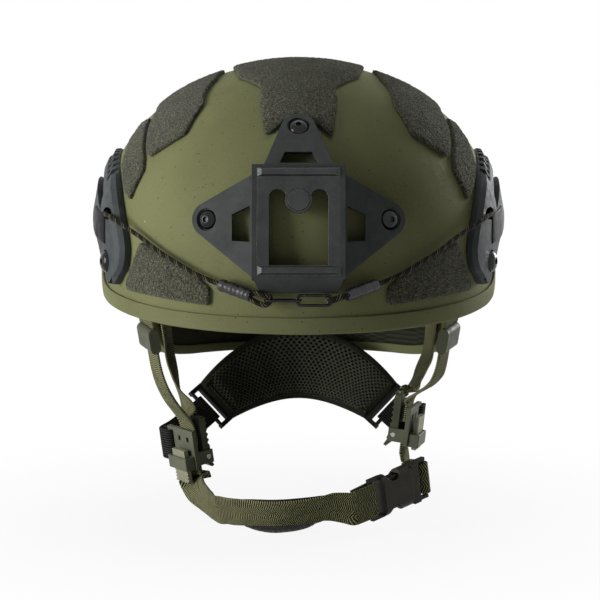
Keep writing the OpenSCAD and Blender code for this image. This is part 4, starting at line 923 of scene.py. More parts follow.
def build_rails(finish, cover_finish, screw_finish):
    line = RailLine()
    total = line.far[-1]
    first = line.where(68.5)
    marks = {}
    for d in np.arange(0, total, 1.5):
        k = (d - first) / TOOTH_PITCH
        marks[round(float(d), 3)] = 0 <= k < TEETH and (d - first) % TOOTH_PITCH < TOOTH_GAP
    for k in range(TEETH):
        d = first + k * TOOTH_PITCH
        for shift, notch in ((-0.03, False), (0.03, True), (TOOTH_GAP - 0.03, True),
                             (TOOTH_GAP + 0.03, False)):
            marks[round(d + shift, 3)] = notch
    marks[round(float(total), 3)] = False
    rings = []
    for d in sorted(marks):
        az, s, w, g, flap = line.at(d)
        rings.append([line.point(d, u, h) for u, h in rail_section(w, g, flap, float(marks[d]))])
    part = loft(rings)
    cord_in, cord_out = on(66, 3.4, GAP + 0.6), on(60, 2.8, RAIL_T + CORD_D)
    way = place_of(cord_in, cord_out - cord_in, (0, 0, 1))
    for side, flip in (("left", False), ("right", True)):
        mouth = CORD_D / 2
        cutters = [drum(way, [(mouth + 0.7, -2), (mouth + 0.7, 5), (mouth + 1.3, 8), (mouth + 4, 22)], 24)]
        for q in RAIL_SCREWS:
            place = on_shell(*q)
            lift = unit(outward(*q))
            seat = (place[0], place[1] + lift * (RAIL_T - 1.5))
            cutters.append(drum(seat, [(6.7, 0), (6.7, 1.2), (7.3, 2.2), (7.6, 9)]))
        name = "rail_" + side
        obj = piece(name + "_body", [mirrored(part) if flip else part], finish,
                    "helmet", [name], 24)
        tools = [plain("cutter", mirrored(c) if flip else c) for c in cutters]
        for tool in tools:
            fix_normals(tool.data)
        cut_away(obj, tools)
        crisp(obj, 0.35, 26)
    cover = []
    for az, inset in ((62.4, 0.3), (62.7, 0), (65, 0), (67.5, 0), (70, 0), (72.4, 0), (72.7, 0.3)):
        low, high = np.interp(az, (62.4, 72.7), (-7.5, -4.6)), np.interp(az, (62.4, 72.7), (2.2, 5.0))
        top = RAIL_T + 0.7 - inset
        cover.append([on(az, s, h) for s, h in
                      ((high, RAIL_T - 1), (high, top - 0.4), (high - 0.3, top),
                       (low + 0.3, top), (low, top - 0.4), (low, RAIL_T - 1))])
    piece("rail_covers", both(loft(cover)), cover_finish, "helmet", (), 30)
    heads = []
    for q in RAIL_SCREWS:
        place = on_shell(*q)
        base = (place[0], place[1] + unit(outward(*q)) * (RAIL_T - 1.4))
        heads += both(drum(base, [(0.02, 0), (6.0, 0), (6.1, 0.8), (5.9, 1.6), (5.3, 2.5), (4.3, 3.2),
                                  (3.0, 3.7), (2.1, 3.85), (1.9, 3.7), (1.8, 2.4), (0.02, 2.3)]))
    piece("rail_screw_heads", heads, screw_finish, "helmet", ["rail_screws"], 40)


def fix_normals(mesh):
    bm = bmesh.new()
    bm.from_mesh(mesh)
    bmesh.ops.recalc_face_normals(bm, faces=bm.faces)
    bm.to_mesh(mesh)
    bm.free()


def crisp(obj, width, angle):
    """Small round along the sharp edges of an own piece."""
    bevel = obj.modifiers.new("edge", "BEVEL")
    bevel.width, bevel.segments = width * MM, 2
    bevel.limit_method, bevel.angle_limit = "ANGLE", math.radians(angle)
    weight = obj.modifiers.new("weight", "WEIGHTED_NORMAL")
    weight.keep_sharp = True


# Liner pads: crowned, drawn in between their corners, with a sewn seam round the side
DISC_GAP, DISC_T = 0.7, 1.4
PAD_T, PAD_CROWN = 17.0, 2.0
PAD_BACK = -WALL - DISC_GAP - DISC_T - 0.9
REAR_PAD_S, REAR_PAD_V = -20.5, 27.0
PADS = (("crown_pad", (0, 4), 52, 58, True, False), ("front_pad", (0, -16), 48, 26, False, False),
        ("rear_pad", (180, REAR_PAD_S), 36, REAR_PAD_V, False, False),
        ("front_side_pads", (42, 6), 20, 34, False, True),
        ("rear_side_pads", (144, -20), 27, 46, False, True))
DISCS = ((0, -16), (180, -22), (42, -8), (-42, -8), (42, 18), (-42, 18), (144, -38), (-144, -38),
         (144, -6), (-144, -6))
CROWN_DISCS = ((-24, 4), (24, 4))
DISC_R, PAD_POINTS, WELT_R = 15, 96, 0.75
PAD_PROFILE = ((0.02, 1), (0.2, 1), (0.4, 1), (0.55, 0.99), (0.7, 0.965), (0.8, 0.93), (0.86, 0.89),
               (0.92, 0.82), (0.962, 0.7), (0.985, 0.6), (0.992, 0.52), (0.975, 0.5), (0.992, 0.48),
               (0.995, 0.38), (0.99, 0.25), (0.975, 0.12), (0.93, 0.03), (0.86, 0), (0.5, 0), (0.02, 0))


def inside_wall(q, x, y, depth, plan):
    """Point under the wall, x and y away from q, which is in the plan or in azimuth and latitude."""
    return over(q[0] + x, q[1] + y, depth) if plan else on(*moved(q, x, y), depth)


def pad_edge(u, v, k, f):
    """Point of a pad's pinched outline, at a share of its size."""
    a = 2 * math.pi * k / PAD_POINTS
    c, s = math.cos(a), math.sin(a)
    pinch = 1 - 0.03 * (1 + math.cos(4 * a))
    return u * math.copysign(abs(c) ** 0.6, c) * pinch * f, v * math.copysign(abs(s) ** 0.6, s) * pinch * f


def pad_part(q, u, v, plan):
    rings = []
    for f, h in PAD_PROFILE:
        crown = PAD_CROWN * (1 - f * f) if h > 0.5 and f < 0.93 else 0
        ring = []
        for k in range(PAD_POINTS):
            x, y = pad_edge(u, v, k, f)
            wave = 0.25 * noise.noise(Vector((x / 14, y / 14, u)))
            ring.append(inside_wall(q, x, y, PAD_BACK - h * PAD_T - crown + wave, plan))
        rings.append(ring)
    return loft(rings)


def build_pads(finish, seam, hook):
    for name, q, u, v, plan, pair in PADS:
        part = pad_part(q, u, v, plan)
        obj = piece(name + "_cloth", both(part) if pair else [part], finish,
                    "helmet", [name], 60)
        depth = PAD_BACK - PAD_T * 0.5
        line = [inside_wall(q, *pad_edge(u, v, k, 0.99), depth, plan) for k in range(PAD_POINTS + 1)]
        welt = tube(np.array(line), WELT_R, 8, 2.0)
        piece(name + "_welt", both(welt) if pair else [welt], seam, "helmet", (), 60)
    parts = []
    turns = [k * math.pi / 18 for k in range(36)]
    layers = ((0.02, 0), (0.5, 0), (0.96, 0), (1, -0.3), (1, -DISC_T + 0.3), (0.96, -DISC_T),
              (0.5, -DISC_T), (0.02, -DISC_T))
    for q, plan in [*((q, False) for q in DISCS), *((q, True) for q in CROWN_DISCS)]:
        parts.append(loft([[inside_wall(q, DISC_R * f * math.cos(a), DISC_R * f * math.sin(a),
                                        -WALL - DISC_GAP + off, plan) for a in turns]
                           for f, off in layers]))
    piece("hook_disc_tape", parts, hook, "helmet", ["hook_discs"], 40)


# Side webbing, drawn for the left side with the adjuster at height z
ADJ_W, ADJ_L, ADJ_T, BAR_R = 24.0, 28.0, 2.6, 1.3
PLATE_TOP, PLATE_LOW = ADJ_L / 2 - 3.5, -ADJ_L / 2 + 1
LEFT_Z, RIGHT_Z = -66.0, -80.0
RAIL_FRONT, RAIL_REAR = RAIL_SCREWS
STRAP_DEPTH, TAB_LOW = 9 + 0.1 + 0.7 + 0.2, WEB_W / 2 + 2
FRONT_UP = unit(vec(0.38, 0.92, 0))


def adjuster_axes(z):
    """Across, up and out of the adjuster at that height."""
    out = unit(vec(0.955, -0.27, -0.12) if z == LEFT_Z else vec(0.84, -0.54, -0.16))
    up = unit(vec(0, 0, 1) - out * out[2])
    return np.cross(up, out), up, out


def adj_point(z, p):
    return vec(67, -18, z) + p @ np.stack(adjuster_axes(z))


def anchor(q):
    return on(*q) - outward(q[0], 0) * STRAP_DEPTH - vec(0, 0, TAB_LOW + 0.8)


def front_route(z):
    across, up, out = adjuster_axes(z)
    a = anchor(RAIL_FRONT)
    high = a + vec(-7.1, 3.6, -15.8)
    low = high + vec(-5.5, 8, -39)
    g = adj_point(z, vec(-1, PLATE_TOP, -WEB_T / 2 - FLAT_GAP))
    p = [a, a - vec(0, 0, 3), between(a - vec(0, 0, 3), high, 0.55), high, between(high, low, 0.5), low,
         between(low, g, 0.5) + vec(2.5, -3, 2), g + up * 6 + out * 1.2, g + up * 1.3, g - up * 9]
    ups = [FRONT_UP if i < 6 else between(FRONT_UP, across, min(1, (i - 5) / 3)) for i in range(10)]
    return eased(np.hstack([p, ups]), 8)


def rear_route(z):
    across, up, out = adjuster_axes(z)
    g = adj_point(z, vec(6.6, PLATE_TOP - 3, -1.5 * WEB_T - 2.5 * FLAT_GAP))
    top = anchor(RAIL_REAR)
    m = top + vec(-7.2, -0.1, -53.8)
    ctrl = [top - vec(0, 0, 5), top + vec(-4.2, 1.5, -30.8), m, between(m, g, 0.36) + vec(0, 0, -1.5),
            between(m, g, 0.7) + vec(-1, 4, 1), g + up * 7 - out * 3.6, g, g - up * 4]
    a = math.radians(RAIL_REAR[0])
    rear_up = unit(vec(math.cos(a) * HALF_W, math.sin(a) * HALF_L, 0))
    p = np.vstack([[top], curve(ctrl, 8)])
    ups = [rear_up if i == 0 else between(rear_up, across, min(1, max(0, (1 + (i - 1) / 4 - 3) / 9)))
           for i in range(len(p))]
    return np.hstack([p, ups])


def round_bar(o, d, n, r, tail, step=12):
    """Points of webbing that comes in along d, goes round a bar at o and doubles back on side n."""
    angles = [math.radians(k) for k in range(90, -91, -step)]
    turn = [o + r * (d * math.cos(a) + n * math.sin(a)) for a in angles]
    return [o - d * (r + tail) + n * r * 0.62, *turn, o - d * (r + tail) - n * r * 0.55]


NAPE_HALF, NAPE_H, NAPE_END_H, NAPE_T, NAPE_BAR = 55.0, 48.0, 31.0, 11.0, 10.4
NAPE_Y, NAPE_SWEEP, NAPE_Z, NAPE_DROP, NAPE_LEAN = 114, 38, -46, 21, 49


def nape_mid(t):
    return vec(NAPE_HALF * t, NAPE_Y - NAPE_SWEEP * t * t, NAPE_Z - NAPE_DROP * t * t)


NAPE_END = nape_mid(1)
NAPE_DIR = unit(vec(NAPE_HALF, -2 * NAPE_SWEEP, -2 * NAPE_DROP))
SLANT = vec(math.sin(math.radians(NAPE_LEAN)), 0, math.cos(math.radians(NAPE_LEAN)))
NAPE_SLOT_U = unit(SLANT - NAPE_DIR * (NAPE_DIR @ SLANT))


def nape_route(z):
    across, up, out = adjuster_axes(z)
    r = BAR_R + FLAT_GAP + WEB_T / 2 + 0.15
    a = adj_point(z, vec(ADJ_W / 2 + 6, (PLATE_TOP + PLATE_LOW) / 2, ADJ_T / 2))
    b = NAPE_END + NAPE_DIR * NAPE_BAR
    first = round_bar(a, -across, out, r, 8)
    last = round_bar(b, -NAPE_DIR, np.cross(NAPE_DIR, NAPE_SLOT_U), r, 8)
    middle = [between(first[0], last[0], k) - vec(0, 0, math.sin(math.pi * k)) for k in (0.3, 0.5, 0.7)]
    p = first[::-1] + middle + last
    n = len(first)
    ups = [up] * n + [between(up, NAPE_SLOT_U, k) for k in (0.25, 0.5, 0.75)] + [NAPE_SLOT_U] * n
    return curve(np.hstack([p, ups]), 4)


def sides(route, left_z, right_z, width, thick=WEB_T, step=1.3):
    return ribbon(route(left_z), width, thick, step), mirrored(ribbon(route(right_z), width, thick, step))


def bar_tack(centre, up, along, out, width, rows=3, gap=1.6):
    """Rows of stitches across a strap."""
    parts = []
    for k in range(rows):
        c = np.asarray(centre) + unit(along) * (k - (rows - 1) / 2) * gap
        half = unit(up) * (width / 2 - 1.4)
        parts.append(stitches([c - half, c + half], unit(out), 1.7, 1.25, 0.2))
    return parts


def build_side_straps(olive, black, thread_finish):
    for name, route, width in (("front_strap", front_route, WEB_W), ("rear_strap", rear_route, 13.0)):
        for side, part in zip(("left", "right"), sides(route, LEFT_Z, RIGHT_Z, width)):
            piece(f"{name}_webbing_{side}", [part], olive, "helmet",
                  [f"{name}_{side}"], 60)
    for side, part in zip(("left", "right"), sides(nape_route, LEFT_Z, RIGHT_Z, ADJ_L - 9, WEB_T, 0.9)):
        piece(f"nape_webbing_{side}", [part], black, "helmet", [f"nape_strap_{side}"], 60)
    tacks = []
    for flip in (False, True):
        d, n = -NAPE_DIR, np.cross(NAPE_DIR, NAPE_SLOT_U)
        c = NAPE_END + NAPE_DIR * (NAPE_BAR + 9)
        made = bar_tack(c + n * (WEB_T + 0.75), NAPE_SLOT_U, d, n, ADJ_L - 9)
        made += bar_tack(c - n * (WEB_T + 0.75), NAPE_SLOT_U, d, -n, ADJ_L - 9)
        tacks += [mirrored(p) for p in made] if flip else made
    piece("strap_stitching", tacks, thread_finish, "helmet", (), 60)


# Nape pad
def nape_frame(t):
    d = unit(vec(NAPE_HALF, -2 * NAPE_SWEEP * t, -2 * NAPE_DROP * t))
    s = vec(math.sin(math.radians(NAPE_LEAN * t)), 0, math.cos(math.radians(NAPE_LEAN * t)))
    u = unit(s - d * (s @ d))
    return nape_mid(t), u, np.cross(d, u), NAPE_H + (NAPE_END_H - NAPE_H) * t * t


def build_nape(mesh_finish, bind, thread_finish, black):
    rings = []
    for t in np.linspace(-1, 1, 121):
        c, u, v, h = nape_frame(t)
        f = min(1, 0.45 + 0.55 * (1 - abs(t)) / 0.09) if abs(t) > 0.91 else 1
        ring = []
        for k in range(64):
            a = 2 * math.pi * k / 64
            x, y = math.cos(a), math.sin(a)
            x = math.copysign(abs(x) ** 0.55, x)
            edge = max(0.0, abs(x) - 0.8) / 0.2
            lobe = 1 - 0.42 * edge - 0.05 * math.cos(2 * math.pi * t * 3)
            y = math.copysign(abs(y) ** 0.8, y) * lobe * f
            ring.append(c + u * x * h / 2 * 0.985 + v * y * NAPE_T / 2)
        rings.append(ring)
    obj = piece("nape_cushion", [loft(rings)], mesh_finish, "helmet", ["nape_pad"], 60)
    rows = []
    for t in np.linspace(-1, 1, 61):
        c, u, v, h = nape_frame(t)
        rows.append((c + u * h / 2, u, v))
    c, u, v, h = nape_frame(1)
    for k in np.linspace(0.8, -0.8, 7):
        rows.append((c + u * h / 2 * k + NAPE_DIR * 0.8, NAPE_DIR, v))
    for t in np.linspace(1, -1, 61):
        c, u, v, h = nape_frame(t)
        rows.append((c - u * h / 2, -u, v))
    c, u, v, h = nape_frame(-1)
    back = unit(vec(NAPE_HALF, 2 * NAPE_SWEEP, 2 * NAPE_DROP))
    for k in np.linspace(-0.8, 0.8, 7):
        rows.append((c + u * h / 2 * k - back * 0.8, -back, v))
    section = [(0.3, 0), (0, 1.9), (-1.2, 2.9), (-4.0, 3.95), (-4.4, 3.7), (-4.2, 3.2), (-1.4, 2.2),
               (-0.7, 0), (-1.4, -2.2), (-4.2, -3.2), (-4.4, -3.7), (-4.0, -3.95), (-1.2, -2.9),
               (0, -1.9)]
    bound = [[p + e * x + n * y for x, y in section] for p, e, n in rows]
    piece("nape_binding", [loft(bound, hoop=True)], bind, "helmet", (), 50)
    for sign in (1, -1):
        line = [(p - e * 3.0 + n * sign * 3.75, n * sign) for p, e, n in rows]
        path = np.array([a for a, b in line] + [line[0][0]])
        normal = np.array([b for a, b in line] + [line[0][1]])
        piece("nape_stitching_" + ("in" if sign < 0 else "out"), [stitches(path, normal, 3.0, 2.1, 0.22)],
              thread_finish, "helmet", (), 60)
    y0 = HALF_L - WALL - 1.6 - WEB_T / 2
    y1 = NAPE_Y + NAPE_T / 2 * 1.05 + FLAT_GAP + WEB_T / 2
    z0 = WAIST + DEG_S * REAR_PAD_S - REAR_PAD_V - 1
    p = [vec(0, y0, z0), vec(0, y0, -14), vec(0, y0 - 1, -24), vec(0, y0 + (y1 - y0) * 0.6, -33),
         vec(0, y1, -41), vec(0, y1, -56)]
    path = eased(np.hstack([p, [(1, 0, 0)] * 6]), 8)
    piece("nape_hanger_webbing", [ribbon(path, 25, WEB_T)], black, "helmet",
          ["nape_hanger"], 60)
    tack = []
    for z in (-44, -52):
        tack += bar_tack(vec(0, y1 + WEB_T / 2, z), (1, 0, 0), (0, 0, 1), (0, 1, 0), 24, 2)
    piece("nape_hanger_stitching", tack, thread_finish, "helmet", (), 60)


# Chin band, cup and buckle webbing
CHIN_ROUTE = ((-47, -61.6, -110), (-39, -69.8, -109.6), (-28, -78, -108.6), (-16, -83, -108.2),
              (-4, -84.6, -107.4), (8, -83.2, -106.2), (19, -79, -105))
CHIN_UP = unit(vec(0, -0.6, 0.8))
BUCKLE_DIR = unit(vec(-0.718, -0.676, -0.165))
BUCKLE_O = vec(64.8, -43.1, -98.9)
BUCKLE_UP = unit(vec(0, 0, 1) - BUCKLE_DIR * BUCKLE_DIR[2])
BUCKLE_OUT = np.cross(BUCKLE_DIR, BUCKLE_UP)
BUCKLE_L, LADDER_L, BAR_T = 24.0, 9.0, 2.6
CHIN_WRAP = BAR_T / 2 + FLAT_GAP + CHIN_T / 2 + 0.1


def chin_path():
    """The chin band's own middle line and width direction, from the cup's start to the sewn loop."""
    end = BUCKLE_O + BUCKLE_DIR * (BUCKLE_L + LADDER_L - BAR_T / 2)
    loop = round_bar(end, -BUCKLE_DIR, -BUCKLE_OUT, CHIN_WRAP, 11)
    run = curve([*CHIN_ROUTE, loop[0] + BUCKLE_DIR * 2.5], 2)
    coarse = len(run) + 8 - 1
    width = [between(CHIN_UP, BUCKLE_UP, min(1, max(0, (i - coarse + 11) / 4))) for i in range(len(run))]
    ups = np.vstack([width, [BUCKLE_UP] * len(loop)])
    return np.hstack([np.vstack([run, loop]), ups])


def chin_side_route():
    g = adj_point(RIGHT_Z, vec(0, PLATE_LOW + 4, -CHIN_T / 2 - FLAT_GAP)) * vec(-1, 1, 1)
    h = adj_point(RIGHT_Z, vec(0, PLATE_LOW - 7, -CHIN_T / 2 - FLAT_GAP)) * vec(-1, 1, 1)
    p = np.vstack([[g], curve([h, (-60.8, -28.5, -104), (-55.8, -42, -107.2), (-48.5, -59.2, -109.9)], 3)])
    a = adjuster_axes(RIGHT_Z)[0] * vec(1, -1, 1)
    ups = [between(a, CHIN_UP, max(0, i - 2) / (len(p) - 3)) for i in range(len(p))]
    return np.hstack([p, ups])


def build_chin(olive, hide, thread_finish, dark_thread):
    band = chin_path()
    whole = curve(np.vstack([chin_side_route()[:-1], band]), 4)
    obj = piece("chin_webbing", [ribbon(whole, CHIN_W, CHIN_T)], olive, None,
                ["chin_strap", "chin_side_strap"], 60)
    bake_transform(obj)
    fine = curve(band[1:15], 8)
    n = len(fine)
    p, ups = fine[:, :3], fine[:, 3:6]
    t = tangents(p)
    u = unit(ups - t * np.sum(ups * t, 1, keepdims=True))
    v = np.cross(t, u)
    thick, high, low = 4.0, 28.0, 6.0
    rings, seam_low, seam_top, keep = [], [], [], []
    for i in range(n):
        f = i / (n - 1)
        if f > 12 / 13:
            break
        g = f * 13 / 12
        s = math.sqrt(max(0.1, 1 - abs(2 * g - 1) ** 2.6))
        h = high * s / 2
        c = p[i] - u[i] * low * s - v[i] * (CHIN_T / 2 + FLAT_GAP * (1.4 + 2 * g * g) + thick / 2)
        ring = []
        for k in range(44):
            a = 2 * math.pi * k / 44
            x, y = math.cos(a), math.sin(a)
            x = math.copysign(abs(x) ** 0.6, x)
            rim = max(0.0, abs(x) - 0.72) / 0.28
            y = math.copysign(abs(y) ** 0.7, y) * (1 - 0.5 * rim ** 0.7) * (0.92 + 0.08 * math.cos(x * 3))
            ring.append(c + u[i] * x * h + v[i] * y * thick / 2)
        rings.append(ring)
        keep.append(g)
        for line, x in ((seam_low, -1), (seam_top, 1)):
            line.append((c + u[i] * x * (h - 2.6) + v[i] * thick / 2 * 0.83, v[i]))
    cup = piece("chin_cup_leather", [loft(rings)], hide, "chin", ["chin_cup"], 60)
    rows = []
    for line in (seam_low, seam_top):
        line = [x for x, g in zip(line, keep) if 0.03 < g < 0.97]
        path, normal = np.array([a for a, b in line]), np.array([b for a, b in line])
        rows.append(stitches(path, normal, 3.3, 2.1, 0.24))
    piece("cup_stitching", rows, thread_finish, "chin", (), 60)
    end = BUCKLE_O + BUCKLE_DIR * (BUCKLE_L + LADDER_L - BAR_T / 2)
    c = end + BUCKLE_DIR * (CHIN_WRAP + 5.2)
    made = bar_tack(c + BUCKLE_OUT * 1.95, BUCKLE_UP, BUCKLE_DIR, BUCKLE_OUT, CHIN_W, 3, 1.7)
    piece("chin_stitching", made, dark_thread, "chin", (), 60)


def build_buckle_strap(olive):
    def in_buckle(x, y, z):
        return BUCKLE_O + BUCKLE_DIR * x + BUCKLE_UP * y + BUCKLE_OUT * z
    g = adj_point(LEFT_Z, vec(0, PLATE_LOW + 4, -CHIN_T / 2 - FLAT_GAP))
    h = adj_point(LEFT_Z, vec(0, PLATE_LOW - 4, -CHIN_T / 2 - FLAT_GAP))
    bar = -6 - LADDER_L + BAR_T / 2
    end = round_bar(in_buckle(bar, 0, 0), -BUCKLE_OUT, -BUCKLE_DIR, CHIN_WRAP, 4)
    run = curve([h, in_buckle(bar - 5.6, 5.5, 18.6), in_buckle(bar - 4.5, 1.2, 14.5),
                 in_buckle(bar - 2.9, 0, 10), end[0]], 3)
    p = np.vstack([[g], run, end[1:]])
    ups = [between(-adjuster_axes(LEFT_Z)[0], BUCKLE_UP, min(1, max(0, i - 2) / 9)) for i in range(len(p))]
    piece("buckle_webbing", [ribbon(curve(np.hstack([p, ups]), 4), CHIN_W - 1, CHIN_T, 0.9)],
          olive, "helmet", ["buckle_strap"], 60)


# Lanyards
HOOK_L, WIRE_D, HOOK_R = 20.0, 1.6, 3.4
CHAIN_Y, CHAIN_Z = -HALF_L - 6.2, 18.796
HOOK_X = HOOK_L / 2 - WIRE_D - FLAT_GAP / 2
SLEEVE_END = vec(25, CHAIN_Y + 1.6, CHAIN_Z + 2.4)
SLEEVE_START = on(19.8, lat(CHAIN_Z + 7.7), 4.9)
SLEEVE_DIR = unit(SLEEVE_END - SLEEVE_START)


def build_lanyards(cord_finish, sleeve_finish, wire_finish):
    cord_in, cord_out = on(66, 3.4, GAP + 0.6), on(60, 2.8, RAIL_T + CORD_D)
    route = [on(57, 2.2, RAIL_T + 2.6), on(53.5, 0.8, RAIL_T + 2.2), on(49.5, -1.6, 6.2),
             on(45, -4.2, 4.9), on(38.5, -8.4, 4.7), on(31.5, lat(CHAIN_Z + 17.6), 4.8),
             on(25.5, lat(CHAIN_Z + 11.8), 4.8)]
    path = curve([cord_in + 0.25 * (cord_out - cord_in), between(cord_in, cord_out, 0.62),
                  between(cord_in, cord_out, 0.95) - vec(0, 0, 0.2), *route,
                  SLEEVE_START + SLEEVE_DIR * 2], 10)
    left = tube(path, CORD_D / 2 - 0.25, 16, 0.6)
    piece("lanyard_left", [left], cord_finish, "helmet", ["cord_left"], 70)
    piece("lanyard_right", [mirrored(left)], cord_finish, "helmet", ["cord_right"], 70)
    length = float(np.linalg.norm(SLEEVE_END - SLEEVE_START))

    def bulge(t):
        lump = 0.12 * math.sin(t * 19) + 0.1 * math.sin(t * 47 + 1)
        return (3.2 if 0.04 < t < 0.96 else 2.75) + lump * (1 if 0.08 < t < 0.92 else 0)
    line = [SLEEVE_START + SLEEVE_DIR * length * k for k in np.linspace(0, 1, 40)]
    piece("lanyard_sleeves", both(tube(np.array(line), bulge, 24, 0.45)), sleeve_finish,
          "helmet", ["cord_sleeves"], 50)
    wire_y, lo, hi = HOOK_R - WIRE_D / 2, -5.0, 5.5
    far = HOOK_L / 2 - HOOK_R
    oval = [vec(hi, wire_y, 0)]
    oval += [vec(far + wire_y * math.cos(math.radians(k)), wire_y * math.sin(math.radians(k)), 0)
             for k in np.arange(90, -91, -7.5)]
    oval += [vec(-far + wire_y * math.cos(math.radians(k)), wire_y * math.sin(math.radians(k)), 0)
             for k in np.arange(-90, -271, -7.5)]
    oval += [vec(lo, wire_y, 0)]
    oval = np.array(oval)
    left = np.stack([-oval[:, 0], np.zeros(len(oval)), oval[:, 1]], 1) + vec(HOOK_X, CHAIN_Y, CHAIN_Z)
    right = oval + vec(-HOOK_X, CHAIN_Y, CHAIN_Z)
    piece("hook_wire_left", [tube(left, WIRE_D / 2, 14, 0.5)], wire_finish,
          "helmet", ["hook_left"], 50)
    piece("hook_wire_right", [tube(right, WIRE_D / 2, 14, 0.5)], wire_finish,
          "helmet", ["hook_right"], 50)
    tip = HOOK_X + HOOK_L / 2 - WIRE_D - FLAT_GAP - CORD_D / 2
    spread = WIRE_D / 2 + FLAT_GAP + CORD_D / 2
    eye_dir = unit(SLEEVE_END - vec(HOOK_X + HOOK_L / 2, CHAIN_Y, CHAIN_Z))

    def eye(v):
        m = vec(HOOK_X + HOOK_L / 2 - WIRE_D / 2, CHAIN_Y, CHAIN_Z)
        w = unit(v - eye_dir * (v @ eye_dir))
        f = SLEEVE_END + eye_dir * 1.5
        p = [f + w * 1.45, between(f, m, 0.5) + w * (spread - 0.25), m + w * spread,
             vec(tip + 0.8, CHAIN_Y, CHAIN_Z) + w * spread * 0.72, vec(tip, CHAIN_Y, CHAIN_Z),
             vec(tip + 0.8, CHAIN_Y, CHAIN_Z) - w * spread * 0.72, m - w * spread,
             between(f, m, 0.5) - w * (spread - 0.25), f - w * 1.45]
        return tube(curve(p, 6), CORD_D / 2 - 0.05, 14, 0.5)
    eyes = [eye(vec(0, 1, 0)), mirrored(eye(vec(0, 0, 1)))]
    piece("lanyard_eyes", eyes, cord_finish, "helmet", ["cord_eyes"], 70)


# Studio, with the photograph's view in its own pixels
SENSOR, FOCAL, PICTURE, SHIFT_X, SHIFT_Y = 36, 1630, 600, 1.4, -21.4
CAMERA_TILT, CAMERA_AIM = 4, 0.020
FLOOR_HALF, FLOOR_DROP, FLOOR_GREY = 4, 0.0006, 0.86


def area_lamp(name, place, aim, size, power):
    data = bpy.data.lights.new(name, "AREA")
    data.energy, data.size = power, size
    lamp = bpy.data.objects.new(name, data)
    bpy.context.scene.collection.objects.link(lamp)
    lamp.location = place
    lamp.rotation_euler = (Vector(aim) - Vector(place)).to_track_quat("-Z", "Y").to_euler()


def seen_directly(tree):
    """1 for what is seen, reflected or refracted, and 0 for what would light the helmet."""
    paths = tree.nodes.new("ShaderNodeLightPath")
    first, second = (tree.nodes.new("ShaderNodeMath") for _ in range(2))
    first.operation = second.operation = "MAXIMUM"
    tree.links.new(paths.outputs["Is Camera Ray"], first.inputs[0])
    tree.links.new(paths.outputs["Is Glossy Ray"], first.inputs[1])
    tree.links.new(first.outputs[0], second.inputs[0])
    tree.links.new(paths.outputs["Is Transmission Ray"], second.inputs[1])
    return second.outputs[0]


def build_stage(settings):
    scene = bpy.context.scene
    target, tilt = Vector((0, 0, CAMERA_AIM)), math.radians(CAMERA_TILT)
    data = bpy.data.cameras.new("camera")
    data.sensor_width, data.lens = SENSOR, SENSOR * FOCAL / PICTURE
    data.shift_x, data.shift_y = SHIFT_X / PICTURE, SHIFT_Y / PICTURE
    camera = bpy.data.objects.new("camera", data)
    scene.collection.objects.link(camera)
    camera.location = target + Vector((0, -math.cos(tilt), math.sin(tilt)))
    camera.rotation_euler = (target - camera.location).to_track_quat("-Z", "Y").to_euler()
    scene.camera = camera
    area_lamp("key", (-1.2, -0.58, 0.18), (0, 0, 0.03), 0.7, settings.key_power)
    area_lamp("rim", (0.95, 0.82, 0.38), (0, 0, 0.03), 0.5, settings.rim_power)
    area_lamp("top", (0.0, 0.1, 1.35), (0, 0, 0.05), 0.7, settings.top_power)
    world = bpy.data.worlds.new("world")
    scene.world = world
    world.use_nodes = True
    tree = world.node_tree
    seen = seen_directly(tree)
    level = tree.nodes.new("ShaderNodeMapRange")
    level.inputs["To Min"].default_value = settings.ambient
    level.inputs["To Max"].default_value = 1.0
    tree.links.new(seen, level.inputs["Value"])
    tree.links.new(level.outputs["Result"], tree.nodes["Background"].inputs["Strength"])
    tree.nodes["Background"].inputs["Color"].default_value = (1, 1, 1, 1)
    mesh = bpy.data.meshes.new("floor")
    z, h = CAD_BOX[0].z - FLOOR_DROP, FLOOR_HALF
    mesh.from_pydata([(-h, -h, z), (h, -h, z), (h, h, z), (-h, h, z)], [], [(0, 1, 2, 3)])
    floor = bpy.data.objects.new("floor", mesh)
    scene.collection.objects.link(floor)
    pale = bpy.data.materials.new("floor")
    pale.use_nodes = True
    mesh.materials.append(pale)
    tree = pale.node_tree
    tree.nodes.remove(tree.nodes["Principled BSDF"])
    lit = tree.nodes.new("ShaderNodeBsdfDiffuse")
    lit.inputs["Color"].default_value = (FLOOR_GREY, FLOOR_GREY, FLOOR_GREY, 1)
    glow = tree.nodes.new("ShaderNodeEmission")
    away = tree.nodes.new("ShaderNodeTexCoord")
    far = tree.nodes.new("ShaderNodeVectorMath")
    far.operation = "LENGTH"
    tree.links.new(away.outputs["Object"], far.inputs[0])
    share = tree.nodes.new("ShaderNodeMapRange")
    share.interpolation_type = "SMOOTHSTEP"
    for key, value in (("From Min", 0.12), ("From Max", 0.36), ("To Min", 0.9), ("To Max", 1.0)):
        share.inputs[key].default_value = value
    tree.links.new(far.outputs["Value"], share.inputs["Value"])
    shown = tree.nodes.new("ShaderNodeMath")
    shown.operation = "MULTIPLY"
    tree.links.new(share.outputs["Result"], shown.inputs[0])
    tree.links.new(seen_directly(tree), shown.inputs[1])
    both_shaders = tree.nodes.new("ShaderNodeMixShader")
    tree.links.new(shown.outputs[0], both_shaders.inputs[0])
    tree.links.new(lit.outputs[0], both_shaders.inputs[1])
    tree.links.new(glow.outputs[0], both_shaders.inputs[2])
    tree.links.new(both_shaders.outputs[0], tree.nodes["Material Output"].inputs["Surface"])
    scene.view_settings.view_transform = "Standard"


FINISHES = {}


